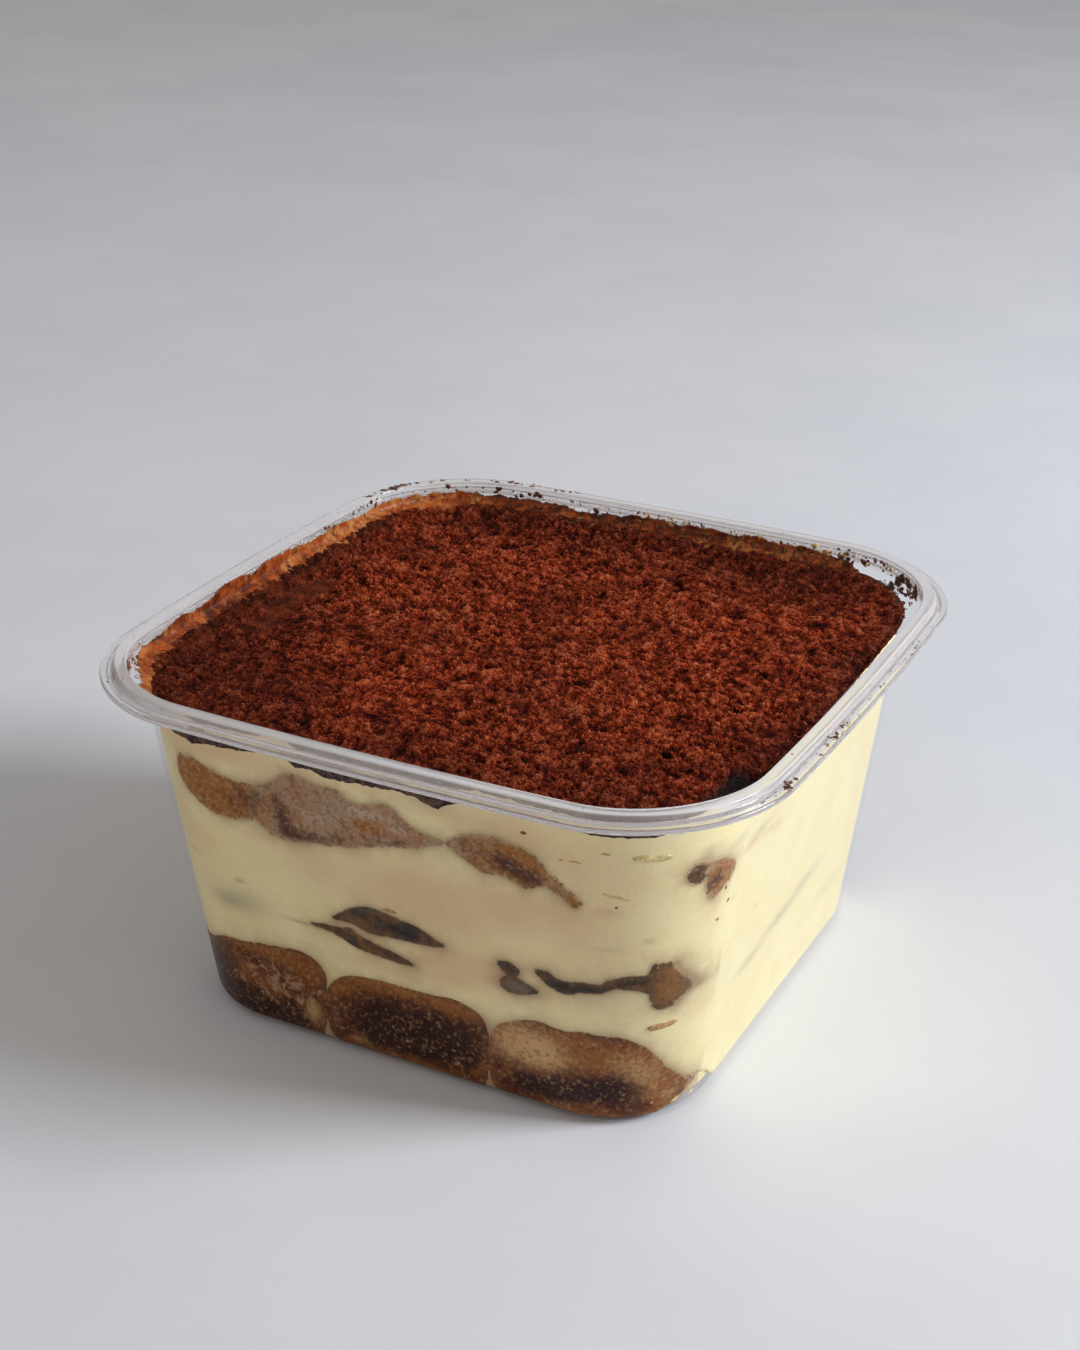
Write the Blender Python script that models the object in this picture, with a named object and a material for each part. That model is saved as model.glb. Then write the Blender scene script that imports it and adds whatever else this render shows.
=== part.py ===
"""Tiramisu portion: sponge fingers and mascarpone cream in a clear square tub.

The tub is a thin moulded shell with rounded corners and a flanged rim. Cream fills it almost to
the shoulder. Three sponge fingers lie on its floor, and two thinner rows lie higher up. All of
them run from the front wall (-Y) to the back, so their ends show through the wall. A layer of
cocoa powder with a clumpy surface covers the cream.

Sizes are in millimetres, and MM turns them into metres where a mesh is made. Z is up, and the
origin is the middle of the tub's base.
"""

import math

import bpy
from mathutils import Vector, noise

MM = 0.001

# Tub: half widths are measured at the middle of a side
TUB_HEIGHT = 60.0
RIM_HALF = 57.5
NECK_HALF = 53.3
WALL_TOP_HALF = 49.7
WALL_TOP_Z = 54.6
FLOOR_HALF = 43.5
WALL = 0.8
NECK_Z = 57.5
FOOT_RADIUS = 2.2
STRAIGHT_AT_BASE = 27.0
STRAIGHT_AT_TOP = 33.5
RIM_BOW = 0.03
GAP = 0.3

# Contents
CREAM_TOP = 53.4
COCOA_MIDDLE = 54.9
COCOA_CLUMP = 0.80
COCOA_CLUMP_SIZE = 4.6
COCOA_EDGE_WIDTH = 6.0
COCOA_EDGE_INSET = 0.6
COCOA_EDGE_RISE = 1.2
# The powder ends on the shoulder at this share of its height, and this much further up where it
# creeps most: at the left and at the back
EDGE_ON_SHOULDER = 0.24
CREEP_ON_SHOULDER = 0.42
CREEP_LEFT = (30.0, 48.0)
CREEP_BACK = (36.0, 50.0)
CREEP_STOPS_IN_FRONT = (30.0, 42.0)
POCKET_GAP = 0.3

# Mesh fineness
RING_POINTS = 48
COCOA_RINGS = 16
SPONGE_POINTS = 18
SHOULDER_STEPS = 4
FOOT_STEPS = 3
WALL_LEVELS = 4
CURVE_STEPS = 8

# Depth: sponges are drawn out past both walls, then cut to the space inside the tub
REACH = 56.0
SPONGE_SECTIONS = 6

# Each sponge: its outline where it meets the wall, as (across, up) points that run clockwise from
# its left end. drift moves the far end (across, up), and swell scales it (across, up).
SPONGES = {
    "bottom_finger_left": {
        "outline": [(-53.0, -1.0), (-51.0, 10.0), (-38.0, 12.9), (-30.0, 15.6), (-22.0, 16.5),
                    (-17.3, 16.2), (-15.3, 13.0), (-15.1, 7.0), (-16.2, 1.2), (-19.0, -1.0)],
        "drift": (0.6, -1.0), "swell": (1.0, 0.94), "wobble": 0.3, "seed": 1,
    },
    "bottom_finger_middle": {
        "outline": [(-9.5, -1.0), (-12.2, 1.4), (-13.0, 6.0), (-12.6, 11.3), (-9.5, 14.5), (-5.0, 15.4),
                    (3.0, 15.9), (10.3, 16.7), (12.8, 14.8), (13.6, 8.0), (12.8, 1.6), (10.0, -1.0)],
        "drift": (0.8, 0.8), "swell": (0.97, 1.0), "wobble": 0.3, "seed": 2,
    },
    "bottom_finger_right": {
        "outline": [(19.0, -1.0), (16.0, 2.0), (15.5, 6.0), (16.1, 12.0), (20.0, 15.9), (27.0, 16.9),
                    (33.5, 16.8), (38.4, 15.5), (41.6, 10.9), (43.1, 6.2), (41.0, 2.4), (36.0, -1.0)],
        "drift": (-0.4, -0.6), "swell": (0.88, 0.97), "wobble": 0.3, "seed": 3,
    },
    "middle_sponge_left": {
        "outline": [(-14.4, 23.4), (-10.3, 26.3), (-6.4, 29.1), (-2.5, 29.6), (4.2, 28.4),
                    (8.7, 26.4), (9.7, 24.4), (3.5, 21.1), (-3.0, 20.8), (-9.7, 21.8)],
        "drift": (-4.0, 0.6), "swell": (1.25, 1.0), "wobble": 0.8, "seed": 4,
    },
    "middle_sponge_centre": {
        "outline": [(17.5, 25.4), (18.9, 26.6), (20.9, 25.9), (23.1, 23.2), (22.4, 21.7),
                    (19.6, 21.1), (18.1, 22.4)],
        "drift": (1.0, 0.9), "swell": (1.1, 0.9), "wobble": 0.4, "seed": 5,
    },
    "middle_sponge_right": {
        "outline": [(24.3, 26.2), (27.0, 26.8), (31.5, 26.6), (36.2, 28.4), (40.2, 29.2),
                    (42.2, 30.4), (44.2, 28.2), (45.1, 24.6), (43.2, 22.4), (40.6, 24.6),
                    (36.5, 26.0), (31.5, 24.7), (26.6, 23.9)],
        "drift": (-3.0, 0.4), "swell": (0.86, 1.15), "wobble": 0.5, "seed": 6,
    },
    "upper_sponge_left": {
        "outline": [(-37.8, 45.2), (-36.6, 47.4), (-34.2, 48.5), (-29.4, 46.9), (-24.0, 46.0),
                    (-22.9, 43.6), (-27.8, 40.5), (-31.6, 39.6), (-35.6, 41.8)],
        "drift": (-3.0, -0.6), "swell": (1.2, 1.05), "wobble": 0.5, "seed": 7,
    },
    "upper_sponge_middle": {
        "outline": [(-21.3, 44.6), (-19.4, 48.0), (-15.4, 50.4), (-9.5, 50.2), (-5.0, 48.5),
                    (0.5, 49.0), (5.5, 47.3), (7.8, 45.9), (2.8, 43.4), (-5.0, 41.2),
                    (-13.0, 39.2), (-19.6, 38.9), (-21.6, 41.3)],
        "drift": (1.2, -0.8), "swell": (0.96, 1.0), "wobble": 0.6, "seed": 8,
    },
    "upper_sponge_right": {
        "outline": [(10.4, 45.6), (13.5, 47.5), (18.5, 48.5), (23.4, 47.8), (27.4, 44.4),
                    (31.4, 41.3), (30.5, 39.7), (26.2, 42.4), (21.5, 41.6), (15.5, 42.0)],
        "drift": (2.0, 0.5), "swell": (1.15, 1.0), "wobble": 0.6, "seed": 9,
    },
    "upper_sponge_corner": {
        "outline": [(-40.6, 44.9), (-40.2, 47.0), (-36.5, 46.7), (-32.4, 44.4), (-30.3, 42.6),
                    (-33.2, 40.7), (-35.6, 39.4), (-39.0, 41.6)],
        "side": True, "far_end": 34.5,
        "drift": (-1.0, -0.4), "swell": (0.8, 0.85), "wobble": 0.3, "seed": 10,
    },
}

# The corner where the cream did not reach: (x, y, z) of its middle, and its half sizes
CORNER_HOLLOW = ((42.4, -36.6, 0.4), (7.0, 8.5, 7.4))

COLOURS = {
    "tub": (0.86, 0.88, 0.92),
    "cream": (0.90, 0.82, 0.55),
    "cocoa": (0.13, 0.035, 0.015),
    "bottom": (0.16, 0.055, 0.025),
    "middle": (0.14, 0.09, 0.07),
    "upper": (0.33, 0.20, 0.09),
}


def clear_scene():
    """Remove the objects that a new file starts with."""
    for item in list(bpy.data.objects):
        bpy.data.objects.remove(item, do_unlink=True)


def make_material(name, colour, roughness, transmission=0.0):
    """A Principled material of one colour."""
    material = bpy.data.materials.new(name)
    material.use_nodes = True
    shader = material.node_tree.nodes["Principled BSDF"]
    shader.inputs["Base Color"].default_value = (*colour, 1.0)
    shader.inputs["Roughness"].default_value = roughness
    shader.inputs["Metallic"].default_value = 0.0
    shader.inputs["Transmission Weight"].default_value = transmission
    return material


def make_object(name, points, faces, material, centre=(0.0, 0.0, 0.0)):
    """A mesh object from points in millimetres, with its origin at centre."""
    mesh = bpy.data.meshes.new(name)
    middle = Vector(centre)
    mesh.from_pydata([(Vector(point) - middle) * MM for point in points], [], faces)
    mesh.materials.append(material)
    mesh.shade_smooth()
    mesh.set_sharp_from_angle(angle=math.radians(40))
    item = bpy.data.objects.new(name, mesh)
    item.location = middle * MM
    bpy.context.collection.objects.link(item)
    return item


def hide_cutter(item):
    """Mark an object as one that only cuts others."""
    item.hide_render = True
    item.display_type = "WIRE"


def cut(item, cutter, operation):
    """Add an exact Boolean to an object."""
    modifier = item.modifiers.new(f"{operation.lower()} {cutter.name}", "BOOLEAN")
    modifier.operation = operation
    modifier.solver = "EXACT"
    modifier.object = cutter


# Rounded square: every level of the tub and its contents is one of these

def straight_half(z):
    """Half the length of a side between its corner arcs."""
    share = min(max(z / WALL_TOP_Z, 0.0), 1.0)
    return STRAIGHT_AT_BASE + (STRAIGHT_AT_TOP - STRAIGHT_AT_BASE) * share


def bow(x, y, half, z):
    """Pull the corners in a little, so that the sides bow outwards more towards the rim."""
    amount = RIM_BOW * min(max(z / TUB_HEIGHT, 0.0), 1.0)
    return (x * (1 - amount * (y / half) ** 2), y * (1 - amount * (x / half) ** 2))


def octant_point(share, half, straight, corner_share):
    """A point between the middle of the +X side (share 0) and the +X+Y diagonal (share 1)."""
    radius = half - straight
    if share < 1 - corner_share:
        return (half, straight * share / (1 - corner_share))
    angle = (share - (1 - corner_share)) / corner_share * math.pi / 4
    return (straight + radius * math.cos(angle), straight + radius * math.sin(angle))


def square_point(turn, half, z, corner_share=None):
    """A point of the rounded square, with turn from 0 to 8 octants from the +X side's middle."""
    straight = straight_half(z)
    if corner_share is None:
        arc = (half - straight) * math.pi / 4
        corner_share = arc / (arc + straight)
    turn = turn % 8
    quarter = int((turn + 1) // 2) % 4
    local = turn - 2 * ((turn + 1) // 2)
    x, y = octant_point(abs(local), half, straight, corner_share)
    if local < 0:
        y = -y
    for _ in range(quarter):
        x, y = -y, x
    return (*bow(x, y, half, z), z)


def square_ring(half, z, count=RING_POINTS):
    """The rounded square as a loop of points, with two thirds of them on its corners."""
    return [square_point(8 * i / count, half, z, corner_share=2 / 3) for i in range(count)]


def wall_half(z):
    """Half width of the inside of the sloping wall."""
    return FLOOR_HALF + (WALL_TOP_HALF - FLOOR_HALF) * z / WALL_TOP_Z


def stack_rings(rings):
    """Points and faces of a closed body made of loops that follow each other, with flat ends."""
    count = len(rings[0])
    points = [point for ring in rings for point in ring]
    faces = []
    for row in range(len(rings) - 1):
        for i in range(count):
            j = (i + 1) % count
            low = row * count
            high = low + count
            faces.append((low + i, low + j, high + j, high + i))
    faces.append(tuple(reversed(range(count))))
    faces.append(tuple(range(len(points) - count, len(points))))
    return points, faces


# Tub

def shoulder(t, inset):
    """The step between wall and neck as (half, z), for t from 0 to 1, moved inwards by inset."""
    controls = [(WALL_TOP_HALF, WALL_TOP_Z), (WALL_TOP_HALF, WALL_TOP_Z + 1.7),
                (NECK_HALF, NECK_Z - 1.9), (NECK_HALF, NECK_Z)]
    s = 1 - t
    weights = (s ** 3, 3 * s * s * t, 3 * s * t * t, t ** 3)
    half, z = (sum(w * c[axis] for w, c in zip(weights, controls)) for axis in (0, 1))
    slopes = (3 * s * s, 6 * s * t, 3 * t * t)
    steps = [(b[0] - a[0], b[1] - a[1]) for a, b in zip(controls, controls[1:])]
    across, up = (sum(w * step[axis] for w, step in zip(slopes, steps)) for axis in (0, 1))
    length = math.hypot(across, up)
    return (half - inset * up / length, z + inset * across / length)


def foot(radius, half, z):
    """The rounded edge of the base as (half, z) points, from the flat of the base up."""
    angles = [math.pi / 2 * i / FOOT_STEPS for i in range(FOOT_STEPS + 1)]
    return [(half - radius + radius * math.sin(a), z + radius - radius * math.cos(a))
            for a in angles]


def rim_profile():
    """Flange from its underside at the neck, round the outer bead, to the ledge's inner edge."""
    top = TUB_HEIGHT
    outer = RIM_HALF
    return [
        (outer - 1.5, top - 2.0),
        (outer - 1.0, top - 2.35),
        (outer - 0.25, top - 2.3),
        (outer, top - 1.9),
        (outer - 0.2, top - 1.45),
        (outer - 0.8, top - 1.3),
        (outer - 1.9, top - 1.25),
        (outer - 2.15, top - 0.4),
        (outer - 2.6, top),
        (NECK_HALF + 0.4, top),
        (NECK_HALF, top - 0.35),
    ]


def make_tub(material):
    """Thin shell: outer skin from the base up, over the rim and down the inside."""
    steps = [i / SHOULDER_STEPS for i in range(SHOULDER_STEPS + 1)]
    outside = foot(FOOT_RADIUS, FLOOR_HALF + WALL, 0.0)
    outside += [shoulder(t, -WALL) for t in steps]
    inside = [shoulder(t, 0.0) for t in reversed(steps)]
    inside += list(reversed(foot(FOOT_RADIUS - WALL, FLOOR_HALF, WALL)))
    profile = outside + rim_profile() + inside
    rings = [square_ring(half, z) for half, z in profile]
    return make_object("tub", *stack_rings(rings), material)


# Cream and the space that the contents share

def content_rings(top, inset):
    """Loops of the space inside the tub, a given distance in from the plastic."""
    rows = foot(FOOT_RADIUS - WALL, FLOOR_HALF - inset, WALL + inset)
    low = rows[-1][1]
    for i in range(1, WALL_LEVELS + 1):
        z = low + (top - low) * i / WALL_LEVELS
        rows.append((wall_half(z) - inset, z))
    return [square_ring(half, z) for half, z in rows]


def make_hollow(material):
    """The air space in the lower corner that the cream leaves free."""
    centre, sizes = CORNER_HOLLOW
    bpy.ops.mesh.primitive_uv_sphere_add(segments=16, ring_count=10, radius=1.0)
    item = bpy.context.object
    item.name = "cut_corner_hollow"
    item.data.materials.append(material)
    item.scale = Vector(sizes) * MM
    item.location = Vector(centre) * MM
    hide_cutter(item)
    return item


# Sponge fingers

def smooth_loop(corners, count):
    """A closed Catmull-Rom curve through the corners, read at equal steps along its length."""
    fine = []
    total = len(corners)
    for i in range(total):
        a, b, c, d = (Vector(corners[(i + k) % total]) for k in (-1, 0, 1, 2))
        for step in range(CURVE_STEPS):
            t = step / CURVE_STEPS
            fine.append(0.5 * (2 * b + (c - a) * t + (2 * a - 5 * b + 4 * c - d) * t * t
                               + (3 * b - a - 3 * c + d) * t ** 3))
    lengths = [0.0]
    for i in range(len(fine)):
        lengths.append(lengths[-1] + (fine[(i + 1) % len(fine)] - fine[i]).length)
    loop = []
    index = 0
    for k in range(count):
        target = lengths[-1] * k / count
        while lengths[index + 1] < target:
            index += 1
        share = (target - lengths[index]) / (lengths[index + 1] - lengths[index])
        loop.append(fine[index].lerp(fine[(index + 1) % len(fine)], share))
    return loop


def grow(loop, amount):
    """Move a clockwise loop outwards by amount."""
    grown = []
    for i, point in enumerate(loop):
        along = loop[(i + 1) % len(loop)] - loop[i - 1]
        grown.append(point + Vector((-along.y, along.x)).normalized() * amount)
    return grown


def sponge_sections(shape, extra):
    """The loops of one sponge from the near wall to its far end, grown by extra."""
    start = smooth_loop(shape["outline"], SPONGE_POINTS)
    middle = sum(start, Vector((0.0, 0.0))) / len(start)
    far_end = shape.get("far_end", REACH)
    near, far = (REACH, far_end) if shape.get("side") else (-REACH, far_end)
    drift = Vector(shape["drift"])
    swell = shape["swell"]
    sections = []
    for k in range(SPONGE_SECTIONS):
        share = k / (SPONGE_SECTIONS - 1)
        depth = near + (far - near) * share
        loop = []
        for i, point in enumerate(start):
            wobble = shape["wobble"] * min(share * 4, 1.0) * noise.noise(
                Vector((i * 0.45, depth * 0.05, shape["seed"] * 7.3)))
            offset = point - middle
            size = Vector((offset.x * (1 + (swell[0] - 1) * share),
                           offset.y * (1 + (swell[1] - 1) * share)))
            loop.append(middle + drift * share + size + offset.normalized() * wobble)
        sections.append((depth, grow(loop, extra)))
    return sections


def make_sponge(name, shape, material, extra=0.0):
    """One sponge drawn out along its length, not yet cut to the tub."""
    rings = []
    for depth, loop in sponge_sections(shape, extra):
        if shape.get("side"):
            rings.append([(depth, point.x, point.y) for point in loop])
        else:
            rings.append([(point.x, depth, point.y) for point in loop])
    points, faces = stack_rings(rings)
    lows = [min(point[axis] for point in points) for axis in range(3)]
    highs = [max(point[axis] for point in points) for axis in range(3)]
    centre = [(low + high) / 2 for low, high in zip(lows, highs)]
    return make_object(name, points, faces, material, centre)


# Cocoa

def ramp(value, limits):
    """0 below the first limit, 1 above the second, and even between them."""
    return min(max((value - limits[0]) / (limits[1] - limits[0]), 0.0), 1.0)


def creep(x, y):
    """How far the powder creeps up the shoulder: 1 at the left and the back, 0 elsewhere."""
    left = ramp(-x, CREEP_LEFT) * (1 - ramp(-y, CREEP_STOPS_IN_FRONT))
    return max(left, ramp(y, CREEP_BACK))


def cocoa_level(x, y, edge_distance):
    """Height of the powder: clumps, and a rise towards the edge where it creeps up the wall."""
    place = Vector((x, y, 0.0)) / COCOA_CLUMP_SIZE
    clumps = noise.noise(place) + 0.6 * noise.noise(place * 2.1 + Vector((9.0, 4.0, 2.0)))
    rise = max(1 - edge_distance / COCOA_EDGE_WIDTH, 0.0) ** 2 * COCOA_EDGE_RISE
    return COCOA_MIDDLE + COCOA_CLUMP * clumps + rise * creep(x, y)


def cocoa_edge(turn, share):
    """A point where the powder meets the shoulder: share 0 is its lower end and 1 its upper."""
    x, y, _ = square_point(turn, WALL_TOP_HALF, WALL_TOP_Z)
    reach = EDGE_ON_SHOULDER + CREEP_ON_SHOULDER * creep(x, y)
    half, z = shoulder(reach * share, GAP)
    return square_point(turn, half, z)


def make_cocoa(material):
    """A slab with a clumpy top: rings of a square grid bent to the tub's rounded square."""
    points = [(0.0, 0.0, cocoa_level(0.0, 0.0, WALL_TOP_HALF))]
    faces = []
    starts = [0]
    for ring in range(1, COCOA_RINGS):
        starts.append(len(points))
        share = ring / COCOA_RINGS
        for i in range(8 * ring):
            x, y, _ = square_point(i / ring, WALL_TOP_HALF - COCOA_EDGE_INSET, WALL_TOP_Z)
            level = cocoa_level(x * share, y * share, WALL_TOP_HALF * (1 - share))
            points.append((x * share, y * share, level))
    count = 8 * COCOA_RINGS
    for share in (1.0, 0.5, 0.0):
        starts.append(len(points))
        points += [cocoa_edge(i / COCOA_RINGS, share) for i in range(count)]
    foot_z = CREAM_TOP + GAP
    starts.append(len(points))
    points += [square_point(i / COCOA_RINGS, wall_half(foot_z) - GAP, foot_z) for i in range(count)]
    for i in range(8):
        faces.append((0, starts[1] + i, starts[1] + (i + 1) % 8))
    for ring in range(1, COCOA_RINGS):
        faces += bridge_square_rings(starts[ring], ring, starts[ring + 1], ring + 1)
    for level in range(COCOA_RINGS, len(starts) - 1):
        for i in range(count):
            j = (i + 1) % count
            faces.append((starts[level] + i, starts[level + 1] + i,
                          starts[level + 1] + j, starts[level] + j))
    faces.append(tuple(reversed(range(starts[-1], starts[-1] + count))))
    return make_object("cocoa", points, faces, material)


def bridge_square_rings(inner, k, outer, m):
    """Faces between a ring of 8k points and the next one out, of 8m points."""
    faces = []
    for i in range(8 * k):
        octant, step = divmod(i, k)
        a = outer + (octant * m + step) % (8 * m)
        b = outer + (octant * m + step + 1) % (8 * m)
        faces.append((inner + i, a, b, inner + (i + 1) % (8 * k)))
        if step == k - 1:
            c = outer + (octant * m + step + 2) % (8 * m)
            faces.append((inner + (i + 1) % (8 * k), b, c))
    return faces


def main():
    clear_scene()
    plastic = make_material("clear_plastic", COLOURS["tub"], 0.12, transmission=0.9)
    cream_material = make_material("cream", COLOURS["cream"], 0.45)
    cocoa_material = make_material("cocoa", COLOURS["cocoa"], 0.95)
    sponge_materials = {
        row: make_material(f"{row}_sponge", COLOURS[row], 0.8)
        for row in ("bottom", "middle", "upper")
    }

    portion = bpy.data.objects.new("portion", None)
    bpy.context.collection.objects.link(portion)
    tub = make_tub(plastic)
    cream = make_object("cream", *stack_rings(content_rings(CREAM_TOP, GAP)), cream_material)
    cocoa = make_cocoa(cocoa_material)
    inside = make_object("cut_inside", *stack_rings(content_rings(CREAM_TOP, GAP)), cream_material)
    hide_cutter(inside)

    parts = [tub, cream, cocoa]
    for name, shape in SPONGES.items():
        material = sponge_materials[name.split("_")[0]]
        sponge = make_sponge(name, shape, material)
        cut(sponge, inside, "INTERSECT")
        pocket = make_sponge(f"cut_{name}", shape, material, extra=POCKET_GAP)
        hide_cutter(pocket)
        cut(cream, pocket, "DIFFERENCE")
        parts.append(sponge)
    cut(cream, make_hollow(cream_material), "DIFFERENCE")
    for part in parts:
        part.parent = portion


main()
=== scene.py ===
# %% [markdown]
# # A portion of tiramisu in its clear tub
#
# The real thing is a square tub of thin clear plastic, filled with mascarpone cream and soaked
# sponge fingers, and covered with cocoa powder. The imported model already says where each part
# sits. This lesson gives every part its fine shape and its finish.
#
# Sizes are in millimetres until a mesh is made, because a food stylist thinks in millimetres.
# Z is up, the front wall is at -Y and the right wall at +X.

# %% Load the frame
import math

import bpy
import numpy as np
from mathutils import Matrix, Vector, noise


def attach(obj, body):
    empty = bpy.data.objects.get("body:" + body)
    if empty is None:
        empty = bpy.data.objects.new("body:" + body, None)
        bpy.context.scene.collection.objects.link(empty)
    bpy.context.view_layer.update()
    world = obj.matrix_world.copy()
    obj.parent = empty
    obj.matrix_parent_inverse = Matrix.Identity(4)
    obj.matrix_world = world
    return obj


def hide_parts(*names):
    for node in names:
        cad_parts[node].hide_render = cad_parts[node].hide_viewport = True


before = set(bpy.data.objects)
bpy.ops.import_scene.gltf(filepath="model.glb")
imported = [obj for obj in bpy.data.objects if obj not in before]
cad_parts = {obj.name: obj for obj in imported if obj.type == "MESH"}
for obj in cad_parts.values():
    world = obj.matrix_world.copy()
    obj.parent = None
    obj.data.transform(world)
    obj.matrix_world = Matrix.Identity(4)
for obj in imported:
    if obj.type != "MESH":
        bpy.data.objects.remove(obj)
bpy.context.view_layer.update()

MM = 0.001
print("nodes in the frame:", ", ".join(sorted(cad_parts)))

# %% [markdown]
# ## The camera
#
# The photograph looks down on the tub by 25 degrees, from the front and a little to the right.
# A camera could be placed by eye, but the outline of the rim gives it exactly: a long lens, a
# point it looks at, and a small shift of that point in the picture.

# %% Camera
ELEVATION = math.radians(25.0956)
AZIMUTH = math.radians(27.3526)
ROLL = math.radians(0.20054)
DISTANCE = 364.32
FOCAL_PIXELS = 2189.749
OFFSET_PIXELS = (-2.10152, 107.54825)
TARGET = Vector((0.0, 0.0, 30.04))


def place_camera():
    """A camera at the photograph's viewing angle, aimed past the middle of the tub."""
    back = Vector((math.sin(AZIMUTH) * math.cos(ELEVATION),
                   -math.cos(AZIMUTH) * math.cos(ELEVATION), math.sin(ELEVATION)))
    right = (-back).cross(Vector((0, 0, 1))).normalized()
    up = back.cross(right)
    eye = TARGET + back * DISTANCE
    eye -= right * (OFFSET_PIXELS[0] / FOCAL_PIXELS * DISTANCE)
    eye += up * (OFFSET_PIXELS[1] / FOCAL_PIXELS * DISTANCE)
    side = right * math.cos(ROLL) + up * math.sin(ROLL)
    top = up * math.cos(ROLL) - right * math.sin(ROLL)
    data = bpy.data.cameras.new("camera")
    data.sensor_width = 36.0
    data.lens = FOCAL_PIXELS * 36.0 / 1350.0
    data.clip_start = 0.01
    camera = bpy.data.objects.new("camera", data)
    rows = [(*row, place) for row, place in zip(zip(side, top, back), eye * MM)]
    camera.matrix_world = Matrix(rows + [(0, 0, 0, 1)])
    bpy.context.scene.collection.objects.link(camera)
    bpy.context.scene.camera = camera
    return eye


print("camera at", [round(value, 1) for value in place_camera()], "mm")

# %% [markdown]
# ## The rounded square
#
# Every level of the tub is a square with round corners. Its sides are nearly straight at the
# base and bow out towards the rim. One function gives a point on it from a turn, counted in
# eighths of a round from the middle of the right side, so 2 is the back, 4 the left side and 6
# the front. NumPy works on whole rows of points at once, which keeps fine meshes quick.

# %% Rounded square
TUB_HEIGHT = 60.0
TUB_HALF = 57.5
NECK_HALF = 53.3
NECK_Z = 57.5
WALL_TOP_HALF = 49.7
WALL_TOP_Z = 54.6
FLOOR_HALF = 43.5
WALL = 0.8
FOOT_RADIUS = 2.2


def straight_half(z):
    """Half the length of a side between its corner arcs."""
    return 27.0 + 6.5 * np.clip(np.asarray(z, float) / WALL_TOP_Z, 0, 1)


def bow_amount(z):
    """How much the corners are pulled in at a height."""
    return 0.03 * np.clip(np.asarray(z, float) / TUB_HEIGHT, 0, 1)


def square_points(turn, half, z):
    """Points of the rounded square of a given half width, evenly spaced in turn."""
    turn, half, z = np.broadcast_arrays(np.asarray(turn, float) % 8, half, z)
    straight = straight_half(z)
    radius = half - straight
    arc = radius * math.pi / 4
    corner = arc / (arc + straight)
    quarter = ((turn + 1) // 2).astype(int)
    local = turn - 2.0 * quarter
    share = np.abs(local)
    angle = np.clip((share - (1 - corner)) / corner, 0, 1) * math.pi / 4
    x = np.where(share < 1 - corner, half, straight + radius * np.cos(angle))
    y = np.where(share < 1 - corner, straight * share / (1 - corner),
                 straight + radius * np.sin(angle))
    y = np.where(local < 0, -y, y)
    for step in (1, 2, 3):
        x, y = np.where(quarter % 4 >= step, -y, x), np.where(quarter % 4 >= step, x, y)
    amount = bow_amount(z)
    return np.stack([x * (1 - amount * (y / half) ** 2), y * (1 - amount * (x / half) ** 2),
                     z * np.ones_like(x)], axis=-1)


def shoulder_curve(share, inset):
    """The step between wall and neck as half widths and heights, moved inwards by inset."""
    t = np.asarray(share, float)
    s = 1 - t
    controls = np.array([(WALL_TOP_HALF, WALL_TOP_Z), (WALL_TOP_HALF, WALL_TOP_Z + 1.7),
                         (NECK_HALF, NECK_Z - 1.9), (NECK_HALF, NECK_Z)])
    weights = np.stack([s ** 3, 3 * s * s * t, 3 * s * t * t, t ** 3], -1)
    slopes = np.stack([3 * s * s, 6 * s * t, 3 * t * t], -1)
    place = weights @ controls
    run = slopes @ np.diff(controls, axis=0)
    run /= np.linalg.norm(run, axis=-1, keepdims=True)
    return place[..., 0] - inset * run[..., 1], place[..., 1] + inset * run[..., 0]


SHOULDER_HALF, SHOULDER_Z = shoulder_curve(np.linspace(0, 1, 40), 0.0)


def inner_half(z):
    """Half width of the space inside the tub, from its floor to its rim."""
    z = np.asarray(z, float)
    radius = FOOT_RADIUS - WALL
    dip = 1 - np.clip(z - WALL, 0, radius) / radius
    foot = FLOOR_HALF - radius + radius * np.sqrt(1 - dip ** 2)
    wall = np.interp(z, [FOOT_RADIUS, WALL_TOP_Z], [FLOOR_HALF, WALL_TOP_HALF])
    above = np.interp(z, SHOULDER_Z, SHOULDER_HALF)
    return np.where(z < FOOT_RADIUS, foot, np.where(z < WALL_TOP_Z, wall, above))


def wall_depth(across, z, out):
    """Distance from the middle plane to a wall, at a place across it; out is past its surface."""
    half = inner_half(z) + out
    straight = straight_half(z)
    amount = bow_amount(z)
    radius = half - straight
    y = half
    for _ in range(8):
        x = np.minimum(np.abs(across) / (1 - amount * (y / half) ** 2), half - 0.001)
        over = np.clip(x - straight, 0, None)
        y = np.where(over > 0, straight + np.sqrt(np.clip(radius ** 2 - over ** 2, 0, None)), half)
    return y * (1 - amount * (x / half) ** 2)


print("inside half width at the floor, middle and shoulder:", inner_half([WALL, 30, 54.6]).round(2))

# %% [markdown]
# ## Small helpers
#
# Three jobs come back for every piece. A mesh needs its points in metres and its painted values
# as attributes. Uneven food needs a smooth random value, which a hashed lattice gives without
# any file. Each piece is then hung on the frame, and the imported parts it replaces are hidden.

# %% Helpers for meshes
def smooth_step(value, low, high):
    """0 below low, 1 above high, and smooth between them."""
    t = np.clip((value - low) / (high - low), 0, 1)
    return t * t * (3 - 2 * t)


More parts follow.
